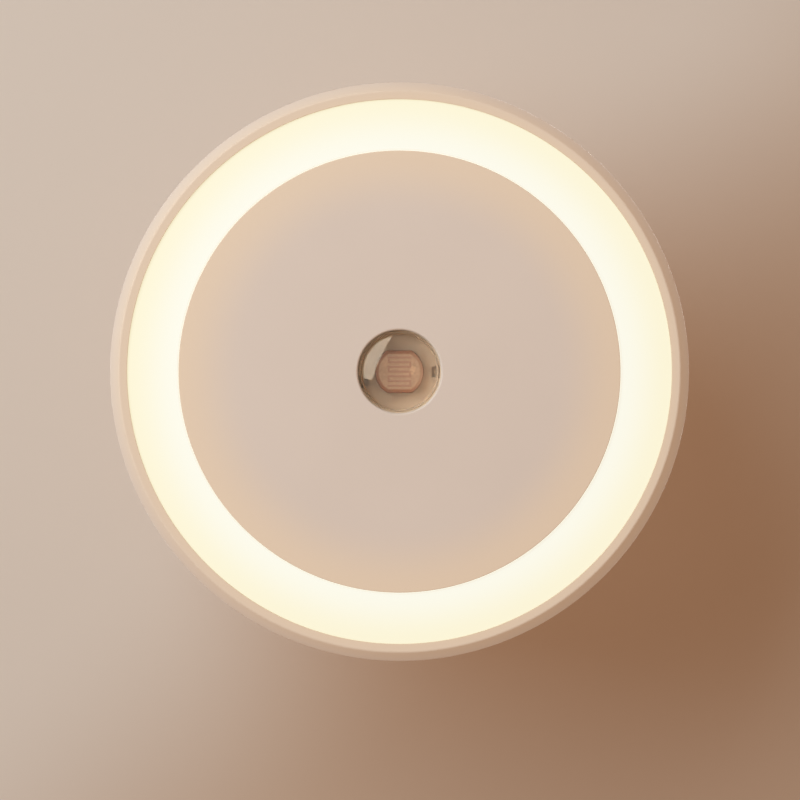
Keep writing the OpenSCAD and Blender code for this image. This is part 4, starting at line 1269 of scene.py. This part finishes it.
class NIGHTLIGHT_OT_inner_finishes(bpy.types.Operator):
    """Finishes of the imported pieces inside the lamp"""

    bl_idname = "night_light.inner_finishes"
    bl_label = "Inner finishes"
    bl_options = {"REGISTER", "UNDO"}

    def execute(self, context):
        colours = context.scene.night_light.colours
        track = speckled(
            "sintered_track", colours.track, scale=3200, rough=0.42, depth=0.01 * MM, contrast=0.2
        )
        tin = plated_metal("tinned", colours.tin, rough=0.32, scale=900)
        zinc = plated_metal("zinc_inner", colours.zinc, rough=0.36, scale=1600)
        finishes = [
            (track, ("photoresistor_track",)),
            (tin, ("photoresistor_leads", "header_pins", "switch_terminals")),
            (zinc, ("cap_screws", "power_board_screws")),
        ]
        finishes += [(speckled(name, *coat), nodes) for name, (nodes, *coat) in INNER_COATS.items()]
        for material, nodes in finishes:
            for node in nodes:
                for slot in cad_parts[node].material_slots:
                    slot.material = material
        return {"FINISHED"}


class NIGHTLIGHT_OT_stage(bpy.types.Operator):
    """Pale backdrop, soft light and the camera"""

    bl_idname = "night_light.stage"
    bl_label = "Stage"
    bl_options = {"REGISTER", "UNDO"}

    def execute(self, context):
        sizes = context.scene.night_light
        self.backdrop(sizes.studio, sizes.colours)
        self.world(context.scene, sizes)
        self.lights(context.scene, sizes.studio)
        self.camera(context.scene, sizes.studio)
        context.scene.view_settings.view_transform = "Standard"
        return {"FINISHED"}

    def backdrop(self, studio, colours):
        """Sheet behind the blades that is seen from the front only, with a shadow painted towards its
        lower right.
        """
        deselect_all()
        bpy.ops.mesh.primitive_plane_add(
            size=studio.backdrop_size, rotation=(math.pi / 2, 0, 0),
            location=at(0, high("blade_left").y + studio.backdrop_gap),
        )
        sheet = apply_place(bpy.context.object)
        sheet.name = "backdrop"
        finish = Finish("pale_backdrop", {"Roughness": 0.9, "Specular IOR Level": 0.1})
        # Painted shadow: the backdrop's colour darkens towards its lower right
        start = studio.painted_shadow_middle - studio.painted_shadow_width / 2
        across = finish.along(Vector(studio.painted_shadow_direction).normalized())
        painted_shade_fade = finish.spread(across, (start, start + studio.painted_shadow_width))
        finish.set("Base Color", finish.blend(painted_shade_fade, colours.backdrop, colours.backdrop_painted_shadow))
        facing = finish.add("ShaderNodeNewGeometry").outputs["Backfacing"]
        clear = finish.add("ShaderNodeBsdfTransparent")
        mix = finish.add("ShaderNodeMixShader", {
            0: facing, 1: finish.shader.outputs["BSDF"], 2: clear.outputs["BSDF"]
        })
        output = finish.tree.nodes["Material Output"]
        finish.feed(output.inputs["Surface"], mix.outputs["Shader"])
        sheet.data.materials.append(finish.material)
        sheet.visible_shadow = False
        sheet.visible_diffuse = False
        sheet.visible_glossy = False

    def world(self, scene, sizes):
        """Even light from all round, with a pale room where it is seen or mirrored."""
        world = bpy.data.worlds.new("soft_room")
        world.use_nodes = True
        scene.world = world
        nodes = world.node_tree.nodes
        links = world.node_tree.links
        fill = nodes["Background"]
        fill.inputs["Color"].default_value = (*sizes.studio.fill_colour, 1)
        seen = nodes.new("ShaderNodeBackground")
        seen.inputs["Color"].default_value = (*sizes.colours.surroundings, 1)
        path = nodes.new("ShaderNodeLightPath")
        share = path.outputs["Is Camera Ray"]
        for ray in ("Is Glossy Ray", "Is Transmission Ray"):
            either = nodes.new("ShaderNodeMath")
            either.operation = "MAXIMUM"
            links.new(share, either.inputs[0])
            links.new(path.outputs[ray], either.inputs[1])
            share = either.outputs[0]
        mix = nodes.new("ShaderNodeMixShader")
        links.new(share, mix.inputs[0])
        links.new(fill.outputs[0], mix.inputs[1])
        links.new(seen.outputs[0], mix.inputs[2])
        links.new(mix.outputs[0], nodes["World Output"].inputs["Surface"])

    def lights(self, scene, studio):
        """Softbox at the upper left, the two cards that glossy pieces show, and two softboxes behind."""
        front = at(0, low("centre_cap").y)
        back = at(0, 0)
        far = studio.key_distance
        near = far - studio.card_gap
        lift = studio.key_raise
        box = (studio.key_width, studio.key_length)
        spot = (studio.glint_width, studio.glint_height)
        warm = studio.card_colour
        plain = studio.back_colour
        rows = (
            ("key_softbox", front, studio.key_side, far, lift, box, studio.key_power, studio.key_colour),
            ("warm_card", front, studio.key_side, near, lift, box, studio.card_power, warm),
            ("glint_card", front, studio.glint_side, far, 0, spot, studio.glint_power, warm),
            ("back_softbox_right", back, studio.back_right, far, 0, box, studio.back_power, plain),
            ("back_softbox_left", back, studio.back_left, far, 0, box, studio.back_low, plain),
        )
        lean = Vector(studio.key_lean)
        lights = {row[0]: self.softbox(scene, lean, *row) for row in rows}
        lights["key_softbox"].visible_glossy = False
        lights["warm_card"].visible_diffuse = False
        lights["glint_card"].visible_diffuse = False

    def softbox(self, scene, lean, name, aim, side, distance, raised, size, watts, colour):
        """Area light that looks at a point from one side, raised along its leaning long side."""
        away = Vector(side) * distance
        out = away.normalized()
        along = (lean - lean.project(out)).normalized()
        data = bpy.data.lights.new(name, "AREA")
        data.shape = "RECTANGLE"
        data.size, data.size_y = size
        data.energy = watts
        data.color = colour
        light = bpy.data.objects.new(name, data)
        light.location = aim + away + along * raised
        light.rotation_euler = Matrix((along.cross(out), along, out)).transposed().to_euler()
        scene.collection.objects.link(light)
        return light

    def camera(self, scene, studio):
        """Camera that looks square on at the lamp's face."""
        data = bpy.data.cameras.new("front_camera")
        data.lens = data.sensor_width * studio.distance / studio.view_width
        camera = bpy.data.objects.new("front_camera", data)
        camera.location = (studio.aim_x, low("front_housing").y - studio.distance, studio.aim_z)
        camera.rotation_euler = (math.pi / 2, 0, 0)
        scene.collection.objects.link(camera)
        scene.camera = camera


class NIGHTLIGHT_PT_pieces(bpy.types.Panel):
    """Sidebar list of the night light's pieces"""

    bl_idname = "NIGHTLIGHT_PT_pieces"
    bl_label = "Night light"
    bl_space_type = "VIEW_3D"
    bl_region_type = "UI"
    bl_category = "Night Light"

    def draw(self, context):
        for operator in OPERATORS:
            self.layout.operator(operator.bl_idname)


SETTINGS = (
    DrumSizes, CoverSizes, FrontSizes, SensorSizes, PlugSizes, SwitchSizes, LampColours, StudioSettings,
    NightLight,
)
OPERATORS = (
    NIGHTLIGHT_OT_stage, NIGHTLIGHT_OT_drum, NIGHTLIGHT_OT_back, NIGHTLIGHT_OT_ring, NIGHTLIGHT_OT_disc,
    NIGHTLIGHT_OT_window, NIGHTLIGHT_OT_sleeve, NIGHTLIGHT_OT_cell, NIGHTLIGHT_OT_blades,
    NIGHTLIGHT_OT_screws, NIGHTLIGHT_OT_knob, NIGHTLIGHT_OT_inner_finishes,
)
CLASSES = (*SETTINGS, *OPERATORS, NIGHTLIGHT_PT_pieces)


def register():
    """Makes the settings, the operators and the panel known."""
    for cls in CLASSES:
        bpy.utils.register_class(cls)
    bpy.types.Scene.night_light = bpy.props.PointerProperty(
        name="Night light", description="Sizes, colours and studio of the night light", type=NightLight
    )


def unregister():
    """Takes the settings, the operators and the panel away again."""
    del bpy.types.Scene.night_light
    for cls in reversed(CLASSES):
        bpy.utils.unregister_class(cls)


def main():
    """Builds the stage and every piece."""
    register()
    bpy.ops.night_light.stage()
    bpy.ops.night_light.drum()
    bpy.ops.night_light.back()
    bpy.ops.night_light.ring()
    bpy.ops.night_light.disc()
    bpy.ops.night_light.window()
    bpy.ops.night_light.sleeve()
    bpy.ops.night_light.cell()
    bpy.ops.night_light.blades()
    bpy.ops.night_light.screws()
    bpy.ops.night_light.knob()
    bpy.ops.night_light.inner_finishes()


if __name__ == "__main__":
    main()
